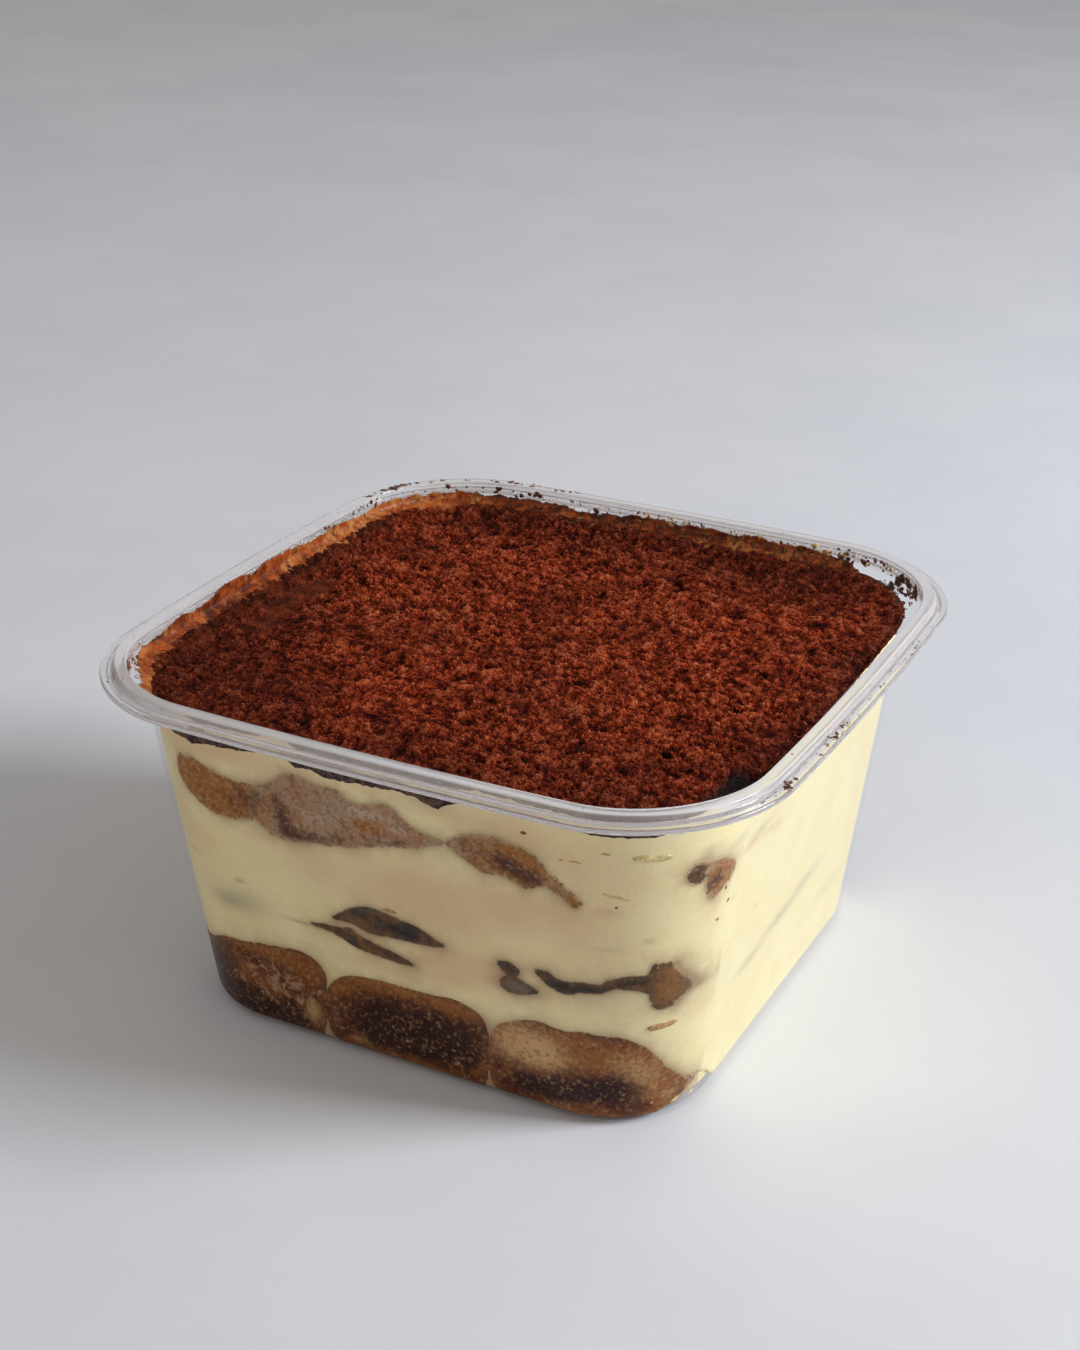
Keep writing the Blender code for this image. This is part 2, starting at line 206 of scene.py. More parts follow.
def lattice_noise(points, size, seed):
    """Smooth random values from -1 to 1 over points, with features of a given size."""
    place = np.asarray(points, float) / size + seed * 17.13
    cell = np.floor(place).astype(np.int64)
    part = place - cell
    part = part * part * (3 - 2 * part)
    total = 0.0
    for corner in np.ndindex(*(2,) * place.shape[-1]):
        key = np.zeros(place.shape[:-1], np.int64)
        weight = 1.0
        for axis, step in enumerate(corner):
            key = key * 73856093 + (cell[..., axis] + step) * 19349663
            weight = weight * (part[..., axis] if step else 1 - part[..., axis])
        key = (key ^ (key >> 13)) * 1274126177 & 0x7FFFFFFF
        total = total + weight * ((key ^ (key >> 16)) % 65536) / 32767.5
    return total - 1.0


def rough_noise(points, size, seed, layers=3):
    """Layers of smooth noise, each half the size and half the strength of the one before."""
    return sum(lattice_noise(points, size / 2 ** i, seed + i) / 2 ** i for i in range(layers))


def make_piece(name, points, faces, material, slot=None, replaces=(), **attributes):
    """A mesh object with a float attribute for each named array, hung on the frame when a slot is
    given.
    """
    mesh = bpy.data.meshes.new(name)
    mesh.from_pydata((np.asarray(points) * MM).tolist(), [], faces)
    mesh.materials.append(material)
    for label, values in attributes.items():
        layer = mesh.attributes.new(label, "FLOAT", "POINT")
        layer.data.foreach_set("value", np.asarray(values, np.float32))
    mesh.shade_smooth()
    piece = bpy.data.objects.new(name, mesh)
    bpy.context.scene.collection.objects.link(piece)
    if slot:
        hang(piece, replaces)
    return piece


def hang(piece, replaces=()):
    """Tie a finished piece to the frame, hide the imported parts it replaces, and print its
    triangles.
    """
    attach(piece, "root")
    if replaces:
        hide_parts(*replaces)
    triangles = sum(len(face.vertices) - 2 for face in piece.data.polygons)
    print(f"{piece.name}: {triangles} triangles")


def grid_faces(rows, columns, closed):
    """Faces of a grid of points, row after row; closed joins the last column to the first."""
    faces = []
    for row in range(rows - 1):
        for i in range(columns if closed else columns - 1):
            j = (i + 1) % columns
            faces.append((row * columns + i, row * columns + j,
                          (row + 1) * columns + j, (row + 1) * columns + i))
    return faces


# %% [markdown]
# Materials are trees of nodes. Writing one out by hand takes many lines, so a short helper adds
# a node and joins its inputs, and another turns a colour as a painter sees it into the plain
# light values that Blender works with.

# %% Helpers for materials
def colour(red, green, blue):
    """A colour on the 0 to 255 scale of a screen, as linear light."""
    return tuple(((v / 255 + 0.055) / 1.055) ** 2.4 if v > 10.3 else v / 255 / 12.92
                 for v in (red, green, blue)) + (1.0,)


def new_material(name):
    """An empty material, and its tree."""
    material = bpy.data.materials.new(name)
    material.use_nodes = True
    material.node_tree.nodes.clear()
    return material, material.node_tree


def add(tree, kind, inputs=None, output=0, **settings):
    """Add a node, set or join its inputs, and give back one of its outputs."""
    item = tree.nodes.new(kind)
    for key, value in settings.items():
        setattr(item, key, value)
    for key, value in (inputs or {}).items():
        if isinstance(value, bpy.types.NodeSocket):
            tree.links.new(value, item.inputs[key])
        else:
            item.inputs[key].default_value = value
    return item.outputs[output] if item.outputs else None


def math_node(tree, operation, a, b=0.0, clamp=False):
    """A sum, product or other simple step on numbers."""
    return add(tree, "ShaderNodeMath", {0: a, 1: b}, operation=operation, use_clamp=clamp)


def mix(tree, factor, a, b, blend="MIX"):
    """Blend two colours."""
    return add(tree, "ShaderNodeMix", {0: factor, 6: a, 7: b}, output=2, data_type="RGBA",
               blend_type=blend)


def fade(tree, value, low, high, to_low=0.0, to_high=1.0):
    """Map a value smoothly from one range to another."""
    return add(tree, "ShaderNodeMapRange", {"Value": value, "From Min": low, "From Max": high,
                                            "To Min": to_low, "To Max": to_high},
               interpolation_type="SMOOTHSTEP")


def painted(tree, name):
    """A value that was painted on the mesh as an attribute."""
    return add(tree, "ShaderNodeAttribute", output=2, attribute_name=name)


def in_millimetres(tree, stretch=(1.0, 1.0, 1.0)):
    """Object coordinates, scaled so that a noise of scale 1 has features of a millimetre."""
    place = add(tree, "ShaderNodeTexCoord", output=3)
    return add(tree, "ShaderNodeMapping", {"Vector": place,
                                           "Scale": tuple(1000 * s for s in stretch)})


def grain(tree, place, size, detail=3.0, roughness=0.6, distortion=0.0):
    """A noise texture with features of a given size in millimetres."""
    return add(tree, "ShaderNodeTexNoise", {"Vector": place, "Scale": 1 / size, "Detail": detail,
                                            "Roughness": roughness, "Distortion": distortion})


def finish(tree, shader):
    """Join a shader to the material's output."""
    add(tree, "ShaderNodeOutputMaterial", {"Surface": shader})


# %% [markdown]
# ## Clear plastic
#
# The tub is clear plastic with a faint milky cast that shows where light runs along the rim. The
# thin wall bends nothing, so it is plain transparent with a faint gloss. The rim is thick and
# curved, and there a glass shader bends what is behind it as real plastic does. Glass would also
# throw a hard dark shadow on the food, so lamps are let through it. A little white scatter gives
# the milky cast.

# %% Clear plastic
def swing(tree, value, amount, middle=0.5):
    """A value measured from its middle, times an amount."""
    return math_node(tree, "MULTIPLY", math_node(tree, "SUBTRACT", value, middle), amount)


def plus(tree, value, other, amount):
    """A value and a share of another one."""
    return math_node(tree, "ADD", value, math_node(tree, "MULTIPLY", other, amount))


def tone_ramp(tree, value, tones):
    """Nodes that turn a value into a colour; tones lists (position, red, green, blue)."""
    ramp_node = add(tree, "ShaderNodeValToRGB", {"Fac": value})
    stops = ramp_node.node.color_ramp.elements
    for i in (0, -1):
        stops[i].position, stops[i].color = tones[i][0], colour(*tones[i][1:])
    for position, *tone in tones[1:-1]:
        stops.new(position).color = colour(*tone)
    return ramp_node


def make_plastic():
    material, tree = new_material("clear_plastic")
    place = in_millimetres(tree)
    height = add(tree, "ShaderNodeSeparateXYZ", {"Vector": place}, output=2)
    gloss = add(tree, "ShaderNodeBsdfGlossy", {"Color": (1, 1, 1, 1), "Roughness": 0.08})
    see = add(tree, "ShaderNodeBsdfTransparent", {"Color": (0.975, 0.975, 0.98, 1)})
    outside = math_node(tree, "SUBTRACT", 1.0, add(tree, "ShaderNodeNewGeometry", output=6))
    shine = math_node(tree, "MULTIPLY", add(tree, "ShaderNodeFresnel", {"IOR": 1.25}), outside)
    wall = add(tree, "ShaderNodeMixShader", {0: shine, 1: see, 2: gloss})
    rim = add(tree, "ShaderNodeBsdfGlass", {"Color": (0.975, 0.97, 0.975, 1), "IOR": 1.49,
                                            "Roughness": 0.05})
    milk = add(tree, "ShaderNodeBsdfDiffuse", {"Color": colour(236, 230, 230)})
    rim = add(tree, "ShaderNodeMixShader", {0: fade(tree, height, 58.8, 59.8, 0.10, 0.30), 1: rim,
                                            2: milk})
    body = add(tree, "ShaderNodeMixShader", {0: fade(tree, height, 56.5, 57.4), 1: wall, 2: rim})
    clear = add(tree, "ShaderNodeBsdfTransparent", {"Color": (0.93, 0.93, 0.95, 1)})
    lamp = add(tree, "ShaderNodeLightPath", output=1)
    finish(tree, add(tree, "ShaderNodeMixShader", {0: lamp, 1: body, 2: clear}))
    return material


plastic = make_plastic()
print("made", plastic.name)

# %% [markdown]
# ## The tub
#
# The tub is one thin shell. Its profile climbs the outside from a rounded foot, swings out at
# the shoulder, goes round the flange and its bead, over the ledge and down the inside. A lathe
# makes round things from a profile; here each point of the profile becomes a rounded square
# instead. Filleted corners on the profile catch the thin bright lines that say plastic.

# %% Tub
TUB_POINTS = 384
LEDGE_TOP = 59.9
STEP_TOP = 58.78


def rounded_path(corners, steps=6):
    """A path through (half, z, radius) corners, each of them rounded by an arc."""
    path = []
    for i, (x, z, radius) in enumerate(corners):
        here = np.array((x, z))
        if i in (0, len(corners) - 1) or radius == 0:
            path.append(here)
            continue
        before = np.array(corners[i - 1][:2]) - here
        after = np.array(corners[i + 1][:2]) - here
        before /= np.linalg.norm(before)
        after /= np.linalg.norm(after)
        half_angle = math.acos(np.clip(before @ after, -1, 1)) / 2
        reach = radius / math.tan(half_angle)
        for k in range(steps + 1):
            t = k / steps
            a = here + before * reach * (1 - t) ** 2
            path.append(a + after * reach * t ** 2)
    return path


def foot_path(radius, half, z, steps=8):
    """The rounded edge of the base, from the flat of the base up."""
    angles = np.linspace(0, math.pi / 2, steps + 1)
    return list(zip(half - radius + radius * np.sin(angles), z + radius - radius * np.cos(angles)))


def tub_profile():
    """The whole profile from the middle of the base outside to the middle of the floor inside."""
    steps = np.linspace(0, 1, 13)
    outside = foot_path(FOOT_RADIUS, FLOOR_HALF + WALL, 0.0)
    low, high = np.array(outside[-1]), np.array(shoulder_curve(0.0, -WALL))
    outside += [tuple(low + (high - low) * t) for t in (0.2, 0.4, 0.6, 0.8)]
    outside += list(zip(*shoulder_curve(steps, -WALL)))
    rim = rounded_path([(54.1, NECK_Z, 0), (56.0, 58.05, 0.2), (56.45, 57.8, 0.15),
                        (TUB_HALF, 57.8, 0.38), (TUB_HALF, 58.7, 0.4), (55.68, STEP_TOP, 0.3),
                        (55.3, LEDGE_TOP, 0.42), (NECK_HALF, LEDGE_TOP, 0.38),
                        (NECK_HALF, NECK_Z, 0)])
    inside = list(zip(*shoulder_curve(steps[::-1], 0.0)))[1:]
    foot = foot_path(FOOT_RADIUS - WALL, FLOOR_HALF, WALL)[::-1]
    low, high = np.array(inside[-1]), np.array(foot[0])
    inside += [tuple(low + (high - low) * t) for t in (0.2, 0.4, 0.6, 0.8)]
    return outside + [tuple(p) for p in rim[1:]] + inside + foot


def make_tub():
    profile = tub_profile()
    turns = np.arange(TUB_POINTS) * 8 / TUB_POINTS
    rings = [square_points(turns, half, z) for half, z in profile]
    faces = grid_faces(len(rings), TUB_POINTS, closed=True)
    for start, flip in ((0, True), ((len(rings) - 1) * TUB_POINTS, False)):
        ring = rings[0] if flip else rings[-1]
        rings_in = [ring * np.array((share, share, 1.0)) for share in (0.66, 0.33)]
        base = sum(len(r) for r in rings)
        last = start
        for level in rings_in:
            for i in range(TUB_POINTS):
                j = (i + 1) % TUB_POINTS
                quad = (last + i, last + j, base + j, base + i)
                faces.append(quad[::-1] if flip else quad)
            rings.append(level)
            last = base
            base += TUB_POINTS
        cap = tuple(range(last, last + TUB_POINTS))
        faces.append(cap[::-1] if flip else cap)
    piece = make_piece("clear_tub", np.concatenate(rings), faces, plastic)
    piece.data.set_sharp_from_angle(angle=math.radians(50))
    hang(piece, ["tub"])
    return piece


tub = make_tub()
print("made", tub.name)

# %% [markdown]
# ## What the walls show
#
# The sponges are seen only where they touch the plastic. The table holds the outline of each at
# the wall, and the places where it is dark, golden or pale, all traced in millimetres. Drift and
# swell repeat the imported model's values, so that the far end of each sponge lies where the model
# has it. The cream needs the outlines as well, because coffee bleeds into it beside them.

# %% Sponge table
SPONGES = {
    "bottom_finger_left": {
        "outlines": [[(-53, -1), (-52, 8.5), (-44.5, 10.2), (-40.5, 11.6), (-36.9, 12.7),
                      (-34.2, 14.3), (-31.8, 15.1), (-28.4, 15.5), (-25.6, 16.0), (-22.9, 16.3),
                      (-20.2, 16.7), (-17.9, 16.8), (-15.9, 16.2), (-14.7, 15.1), (-14.1, 13.6),
                      (-14.3, 11.6), (-14.8, 9.0), (-15.0, 5.5), (-15.8, 2.0), (-18, -1)]],
        "drift": (0.6, -1.0), "swell": (1.0, 0.94),
        "paint": {"dark": [(-38, 7, 3.6, 6, 1.0, 0), (-30, 5, 6, 3.4, 0.9, 0),
                           (-23, 2.6, 9, 2.2, 1.0, 0), (-21, 5.5, 2, 1.8, 0.8, 0),
                           (-33, 10, 3, 2, 0.5, 0)],
                  "sugar": [(-24, 9.5, 7, 4.5, 1.4, 0), (-19, 6, 3.5, 4, 1.1, 0)],
                  "golden": [(-25, 15.0, 9, 1.6, 0.9, 0), (-18, 12.5, 3, 2.5, 0.6, 0),
                             (-36, 12, 3, 0.9, 0.5, 0)],
                  "pale": [(-17.0, 5.5, 1.5, 3.2, 0.85, 0), (-19.5, 2.6, 1.6, 1.2, 0.7, 0),
                           (-28.0, 11.0, 1.6, 0.7, 0.6, 0), (-24.5, 9.0, 1.5, 0.9, 0.45, 0)]},
    },
    "bottom_finger_middle": {
        "outlines": [[(-9.5, -1), (-13.1, 1.4), (-14.2, 5.0), (-14.1, 8.1), (-13.4, 10.9),
                      (-11.6, 13.3), (-9.6, 14.5), (-7.5, 15.1), (-4.0, 15.5), (0.0, 15.6),
                      (3.5, 15.7), (7.0, 15.9), (9.1, 16.2), (11.4, 15.7), (13.2, 14.9),
                      (14.2, 13.4), (14.5, 11.0), (14.3, 8.0), (14.0, 4.6), (13.2, 1.6), (10, -1)]],
        "drift": (0.8, 0.8), "swell": (0.97, 1.0),
        "paint": {"dark": [(-4, 8.5, 7.5, 4.6, 1.2, 0), (7, 8.8, 6.5, 5.0, 1.2, 0),
                           (1, 5, 10, 2.4, 0.9, 0)],
                  "sugar": [(2, 7, 9, 3.6, 0.75, 0), (-10, 3, 3, 2, 0.8, 0), (9, 3, 4, 2, 0.7, 0)],
                  "golden": [(-10.5, 12.2, 2.8, 2.0, 1.1, 0), (1, 15.0, 11, 1.4, 1.2, 0),
                             (0, 1.2, 11, 1.0, 0.9, 0), (10, 14.6, 3, 1.1, 0.6, 0)],
                  "pale": [(-8.5, 2.8, 2.0, 0.8, 0.6, 0), (-12.6, 6.0, 0.9, 3.0, 0.4, 0)]},
    },
    "bottom_finger_right": {
        "outlines": [[(19, -1), (15.6, 2.0), (14.8, 5.5), (14.8, 8.0), (15.3, 10.9), (16.9, 13.9),
                      (20.1, 15.8), (23.4, 16.8), (25.9, 16.6), (28.3, 16.5), (30.8, 17.1),
                      (33.0, 17.0), (36.4, 16.7), (37.8, 15.9), (39.2, 14.7), (40.3, 12.6),
                      (41.2, 10.2), (42.0, 8.4), (42.8, 6.1), (42.5, 4.4), (41.6, 3.2),
                      (40.0, 1.9), (36, -1)]],
        "drift": (-0.4, -0.6), "swell": (0.88, 0.97),
        "paint": {"dark": [(22, 4.6, 5.0, 2.2, 1.1, 0.1), (29, 5.6, 4.5, 2.8, 1.1, 0),
                           (35.0, 7.0, 3.4, 3.0, 1.0, 0)],
                  "sugar": [(27, 7.5, 5, 2.0, 0.6, 0), (37, 8.5, 3.5, 3.5, 0.55, 0)],
                  "golden": [(32, 13.0, 9, 3.6, 1.3, 0), (18, 13, 4, 3.0, 1.0, 0),
                             (30, 1.4, 9, 0.9, 0.9, 0), (40.5, 6.5, 2.2, 4.0, 0.85, 0)],
                  "pale": [(21.5, 12.0, 6.5, 4.0, 1.0, 0.1), (24.5, 10.5, 3.5, 2.4, 0.4, 0),
                           (36.5, 11.5, 4, 3.5, 0.4, 0), (38.8, 8.0, 2.4, 4.0, 0.45, 0),
                           (41.2, 4.5, 0.9, 2.2, 0.4, 0)]},
    },
    "middle_sponge_left": {
        "outlines": [[(-10.5, 25.7), (-9.0, 27.0), (-6.7, 28.7), (-4.1, 29.6), (-2.3, 29.5),
                      (-0.5, 29.3), (1.6, 28.9), (3.6, 28.6), (5.1, 28.1), (6.7, 27.3),
                      (8.5, 26.4), (5.3, 25.7), (2.0, 25.5), (-0.8, 25.3), (-3.4, 25.0),
                      (-5.2, 25.2), (-7.4, 25.9)],
                     [(-14.6, 23.5), (-11.5, 23.9), (-9.4, 24.1), (-7.7, 24.6), (-6.1, 23.8),
                      (-3.2, 22.8), (0.1, 22.2), (2.9, 21.1), (0.7, 20.8), (-3.4, 21.0),
                      (-6.3, 21.3), (-8.3, 22.0), (-10.0, 22.7), (-12.1, 23.1)]],
        "drift": (-4.0, 0.6), "swell": (1.25, 1.0), "step": 0.3,
        "paint": {"dark": [(1.5, 27.0, 5.5, 1.0, 0.9, -0.2), (-10, 23.4, 4, 0.5, 0.5, -0.2),
                           (-1, 21.9, 4, 0.6, 0.7, -0.2)],
                  "golden": [(-7.5, 25.6, 0.8, 1.4, 0.9, -1.2), (-6.4, 23.4, 0.9, 1.5, 0.9, -1.2)],
                  "pale": [(-4.5, 28.8, 2.5, 0.6, 0.5, 0), (-7.0, 27.0, 1.4, 0.7, 0.4, 0)]},
    },
    "middle_sponge_centre": {
        "outlines": [[(17.6, 26.2), (19.1, 26.7), (20.7, 26.0), (20.7, 24.9), (19.4, 24.1),
                      (18.4, 24.9)],
                     [(18.2, 23.6), (20.5, 24.3), (22.0, 23.5), (23.8, 22.7), (21.7, 21.7),
                      (19.3, 21.3), (17.8, 22.2)]],
        "drift": (1.0, 0.9), "swell": (1.1, 0.9), "step": 0.3,
        "paint": {"dark": [(19.4, 25.5, 1.2, 0.9, 0.7, 0)], "golden": [],
                  "pale": [(20.8, 22.6, 2.6, 1.3, 1.0, 0)]},
    },
    "middle_sponge_right": {
        "outlines": [[(23.9, 26.6), (25.0, 26.9), (26.0, 26.9), (27.6, 26.1), (29.6, 26.1),
                      (31.2, 26.6), (34.1, 26.7), (35.5, 27.7), (37.8, 28.4), (40.4, 28.5),
                      (40.9, 29.4), (41.4, 30.3), (42.4, 30.2), (43.3, 30.3), (43.6, 28.8),
                      (44.4, 27.0), (45.0, 24.6), (44.2, 24.0), (43.5, 23.2), (42.7, 22.2),
                      (41.7, 22.1), (40.9, 22.8), (40.5, 25.2), (38.7, 26.1), (36.1, 26.4),
                      (34.1, 25.4), (31.1, 24.9), (28.7, 24.0), (26.7, 24.3), (25.1, 25.4)]],
        "drift": (-3.0, 0.4), "swell": (0.86, 1.15), "step": 0.3,
        "paint": {"dark": [(28, 24.9, 3.0, 0.7, 0.9, 0), (33, 25.8, 3, 0.6, 0.7, 0.1),
                           (38, 27.3, 3, 0.8, 0.8, 0.1), (44.8, 24.6, 0.5, 0.7, 0.9, 0)],
                  "golden": [(42.3, 26.5, 1.5, 4.0, 1.6, 0)],
                  "pale": [(44.5, 26.0, 0.7, 1.3, 0.7, 0)]},
    },
    "upper_sponge_left": {
        "outlines": [[(-37.4, 46.3), (-36.6, 47.9), (-34.5, 48.4), (-32.7, 48.0), (-31.3, 47.5),
                      (-28.7, 46.8), (-25.7, 46.3), (-23.5, 46.4), (-22.0, 46.2), (-21.6, 45.1),
                      (-22.3, 43.2), (-23.0, 41.0), (-24.9, 40.1), (-26.7, 39.8), (-29.0, 39.4),
                      (-31.1, 39.8), (-33.0, 40.8), (-34.6, 41.7), (-36.0, 42.7), (-37.1, 44.2)]],
        "drift": (-3.0, -0.6), "swell": (1.2, 1.05), "step": 0.35,
        "paint": {"golden": [(-32.5, 44.5, 6.5, 5.0, 2.4, 0), (-27, 43, 4, 3, 1.6, 0)],
                  "dark": [(-26.5, 43.2, 2.6, 2.8, 0.55, 0), (-24, 44.8, 1.6, 1.4, 0.4, 0)],
                  "pale": [(-23.5, 41.5, 1.5, 1.5, 0.4, 0)]},
    },
    "upper_sponge_middle": {
        "outlines": [[(-23.3, 45.4), (-22.0, 46.6), (-19.4, 48.2), (-17.6, 49.5), (-16.2, 50.4),
                      (-13.9, 50.4), (-11.7, 49.9), (-9.2, 49.9), (-7.2, 49.6), (-6.1, 48.5),
                      (-4.1, 48.3), (-2.1, 48.7), (0.4, 49.5), (2.0, 49.2), (3.1, 48.1),
                      (4.9, 46.6), (7.9, 45.9), (9.8, 45.4), (7.4, 44.4), (4.9, 43.3),
                      (2.0, 42.8), (-1.2, 42.0), (-5.4, 40.7), (-8.8, 39.9), (-12.1, 39.4),
                      (-14.5, 38.7), (-17.2, 38.4), (-19.8, 38.5), (-21.5, 39.4), (-23.0, 40.5),
                      (-23.8, 42.2)]],
        "drift": (1.2, -0.8), "swell": (0.96, 1.0), "step": 0.35,
        "paint": {"dark": [(-18.0, 42.2, 1.8, 3.6, 1.0, -0.9), (-14.5, 39.8, 3.5, 1.1, 0.8, 0),
                           (-8, 41.0, 5, 0.9, 0.55, 0.2), (2.0, 43.4, 3.5, 0.8, 0.5, 0.2),
                           (-12.0, 46.0, 1.5, 1.2, 0.35, 0)],
                  "golden": [(-2.6, 44.9, 2.6, 1.5, 1.0, 0), (-20.5, 43, 1.5, 1.5, 0.3, 0)],
                  "pale": [(-3, 47.2, 5, 1.6, 0.7, 0), (-12.5, 43.6, 3.0, 2.2, 0.6, 0),
                           (3, 45.5, 3, 1.2, 0.5, 0)]},
    },
    "upper_sponge_right": {
        "outlines": [[(10.7, 45.8), (12.5, 47.1), (14.1, 47.8), (16.2, 48.3), (19.0, 48.5),
                      (20.5, 48.3), (22.1, 48.0), (23.6, 47.5), (24.8, 46.8), (25.7, 45.9),
                      (26.3, 45.0), (27.3, 44.3), (28.8, 43.1), (30.1, 42.1), (31.1, 41.4),
                      (31.3, 40.6), (30.6, 39.9), (29.6, 40.4), (28.7, 41.2), (27.6, 41.8),
                      (26.4, 42.5), (25.2, 42.3), (24.0, 41.7), (23.0, 41.3), (21.9, 41.5),
                      (20.9, 42.0), (19.3, 42.4), (17.7, 42.4), (16.5, 42.2), (15.3, 42.6),
                      (14.2, 43.3), (12.8, 44.0), (11.5, 44.9)]],
        "drift": (2.0, 0.5), "swell": (1.15, 1.0), "step": 0.33,
        "paint": {"dark": [(20.5, 44.4, 4.6, 2.2, 0.9, -0.3), (24.4, 43.4, 1.8, 1.5, 0.6, 0),
                           (12.5, 45.9, 2.4, 1.6, 0.45, 0),
                           (29.4, 41.6, 1.6, 0.8, 0.4, -0.6)],
                  "golden": [(30.5, 41.0, 1.2, 1.0, 1.4, 0), (22, 45.0, 6.5, 4, 1.2, 0)],
                  "pale": [(15, 47.9, 3, 0.5, 0.35, 0.1)]},
    },
    "upper_sponge_corner": {
        "outlines": [[(-40.8, 44.9), (-40.6, 46.3), (-39.6, 47.1), (-38.5, 46.9), (-38.3, 45.2),
                      (-38.7, 44.2), (-39.5, 43.8)],
                     [(-38.0, 46.4), (-36.8, 46.5), (-35.0, 46.0), (-33.0, 45.2), (-31.2, 43.8),
                      (-31.0, 42.5), (-32.6, 41.5), (-34.3, 40.7), (-36.0, 40.0), (-37.2, 42.1),
                      (-37.7, 44.1)]],
        "far": 34.5, "drift": (-1.0, -0.4), "swell": (0.8, 0.85), "step": 0.3,
        "paint": {"dark": [(-39.7, 45.3, 1.4, 2.4, 1.8, 0), (-36, 43, 1.6, 1.8, 0.9, 0)],
                  "golden": [(-34.5, 43.4, 3.5, 3.5, 1.35, 0)], "pale": []},
    },
}
print(len(SPONGES), "sponges in the table")

# %% [markdown]
# A few corners are enough to give an outline, because a smooth curve is laid through them. The
# second function measures how far inside or outside an outline a point lies.

# %% Outlines
def smooth_outline(corners, count=220):
    """A closed smooth curve through the corners, with evenly spaced points."""
    corners = np.array(corners, float)
    fine = []
    t = np.linspace(0, 1, 12, endpoint=False)[:, None]
    for i in range(len(corners)):
        a, b, c, d = (corners[(i + k) % len(corners)] for k in (-1, 0, 1, 2))
        fine.append(0.5 * (2 * b + (c - a) * t + (2 * a - 5 * b + 4 * c - d) * t ** 2
                           + (3 * b - a - 3 * c + d) * t ** 3))
    fine = np.concatenate(fine + [fine[0][:1]])
    along = np.concatenate([[0], np.cumsum(np.linalg.norm(np.diff(fine, axis=0), axis=1))])
    steps = np.linspace(0, along[-1], count, endpoint=False)
    return np.stack([np.interp(steps, along, fine[:, axis]) for axis in (0, 1)], -1)


def to_outline(points, outline):
    """Distance from points to a closed outline, more than 0 inside it, and the nearest places."""
    a, b = outline, np.roll(outline, -1, axis=0)
    seg = b - a
    rel = points[:, None] - a
    t = np.clip((rel * seg).sum(-1) / (seg ** 2).sum(-1), 0, 1)
    near = a + t[..., None] * seg
    gap = np.linalg.norm(points[:, None] - near, axis=-1)
    best = gap.argmin(1)
    rows = np.arange(len(points))
    crosses = (a[:, 1] > points[:, 1:]) != (b[:, 1] > points[:, 1:])
    rise = np.where(seg[:, 1] == 0, 1e-9, seg[:, 1])
    left = points[:, :1] < a[:, 0] + seg[:, 0] * (points[:, 1:] - a[:, 1]) / rise
    inside = (crosses & left).sum(1) % 2 == 1
    return np.where(inside, gap[rows, best], -gap[rows, best]), near[rows, best]


OUTLINES = {name: [smooth_outline(corners) for corners in shape["outlines"]]
            for name, shape in SPONGES.items()}
print(sum(len(outlines) for outlines in OUTLINES.values()), "outlines")

# %% [markdown]
# ## Cream colour
#
# Mascarpone cream is pale yellow, and next to soaked sponge it takes on soft tan stains. The
# stains follow no rule, so they are painted: a table lists soft round marks on the wall, and
# every point near one takes some of its value. A few tan marks are painted shade instead: the
# shadow under the flange and the shade at the left end of the front wall. The same painted values
# go on the cream and on the sponges, because a sponge fades into cream at its ragged edge and both
# must agree there.

# %% Stains in the cream
# Marks on the front wall: (across, up, half width, half height, strength). Most are coffee stains;
# the long ones just under the flange are its painted shadow, and the tall ones at the left end are
# painted shade where the wall turns away from the light.
STAIN_AND_SHADE_MARKS = [
    (-8.0, 35.5, 13.0, 4.5, 0.75), (6.0, 38.0, 10.0, 4.0, 0.35), (1.0, 31.5, 11.0, 3.0, 0.45),
    (13.0, 33.0, 12.0, 7.0, 0.50), (12.0, 24.0, 6.5, 3.0, 0.75), (7.5, 20.6, 7.0, 1.3, 0.60),
    (24.0, 38.5, 8.0, 2.5, 0.55), (35.0, 40.1, 1.8, 0.9, 0.90), (31.0, 36.0, 9.0, 5.0, 0.25),
    (28.0, 21.5, 13.0, 2.2, 0.35), (1.0, 18.6, 12.0, 1.8, 0.35), (-38.5, 38.0, 3.5, 9.0, 0.40),
    (-33.0, 33.0, 5.0, 3.5, 0.25), (-41.0, 20.0, 2.5, 7.0, 0.35), (-20.0, 37.4, 5.5, 1.2, 0.45),
    (12.5, 24.6, 3.5, 1.2, 0.9), (15.5, 23.4, 3.0, 1.4, 0.8), (6.0, 22.6, 3.5, 1.0, 0.7),
    (10.0, 50.5, 6.0, 1.5, 0.35), (-30.0, 51.5, 14.0, 2.4, 0.75), (32.0, 31.0, 9.0, 6.0, 0.35),
    (-2.0, 19.5, 8.0, 1.6, 0.3), (-4.0, 52.0, 14.0, 2.2, 0.6), (25.0, 50.5, 10.0, 4.0, 0.6),
    (33.0, 45.0, 9.0, 6.0, 0.5), (20.0, 36.0, 12.0, 4.0, 0.3), (-5.0, 25.0, 9.0, 4.0, 0.30),
    (20.0, 24.5, 5.5, 3.6, 0.50),
]
GREY_MARKS = [
    (-28.5, 24.0, 5.5, 2.5, 0.50), (-16.8, 23.1, 3.2, 0.35, 0.75), (-31.0, 23.0, 3.0, 1.5, 0.3),
    (-28.0, 27.7, 0.9, 0.35, 0.9), (8.0, 52.3, 3.5, 1.6, 0.75), (40.4, 34.9, 0.6, 0.3, 0.8),
    (35.0, 33.4, 2.2, 0.3, 0.5), (-38.0, 30.0, 2.0, 0.5, 0.3),
    (20.6, 22.6, 3.6, 1.6, 0.55), (14.5, 12.6, 1.6, 2.2, 0.85),
    (-14.4, 5.0, 0.9, 7.0, 0.9), (14.6, 4.0, 0.7, 7.0, 0.9),
    (34.5, 25.0, 9.0, 2.6, 0.30), (43.5, 24.0, 3.0, 3.5, 0.35),
]
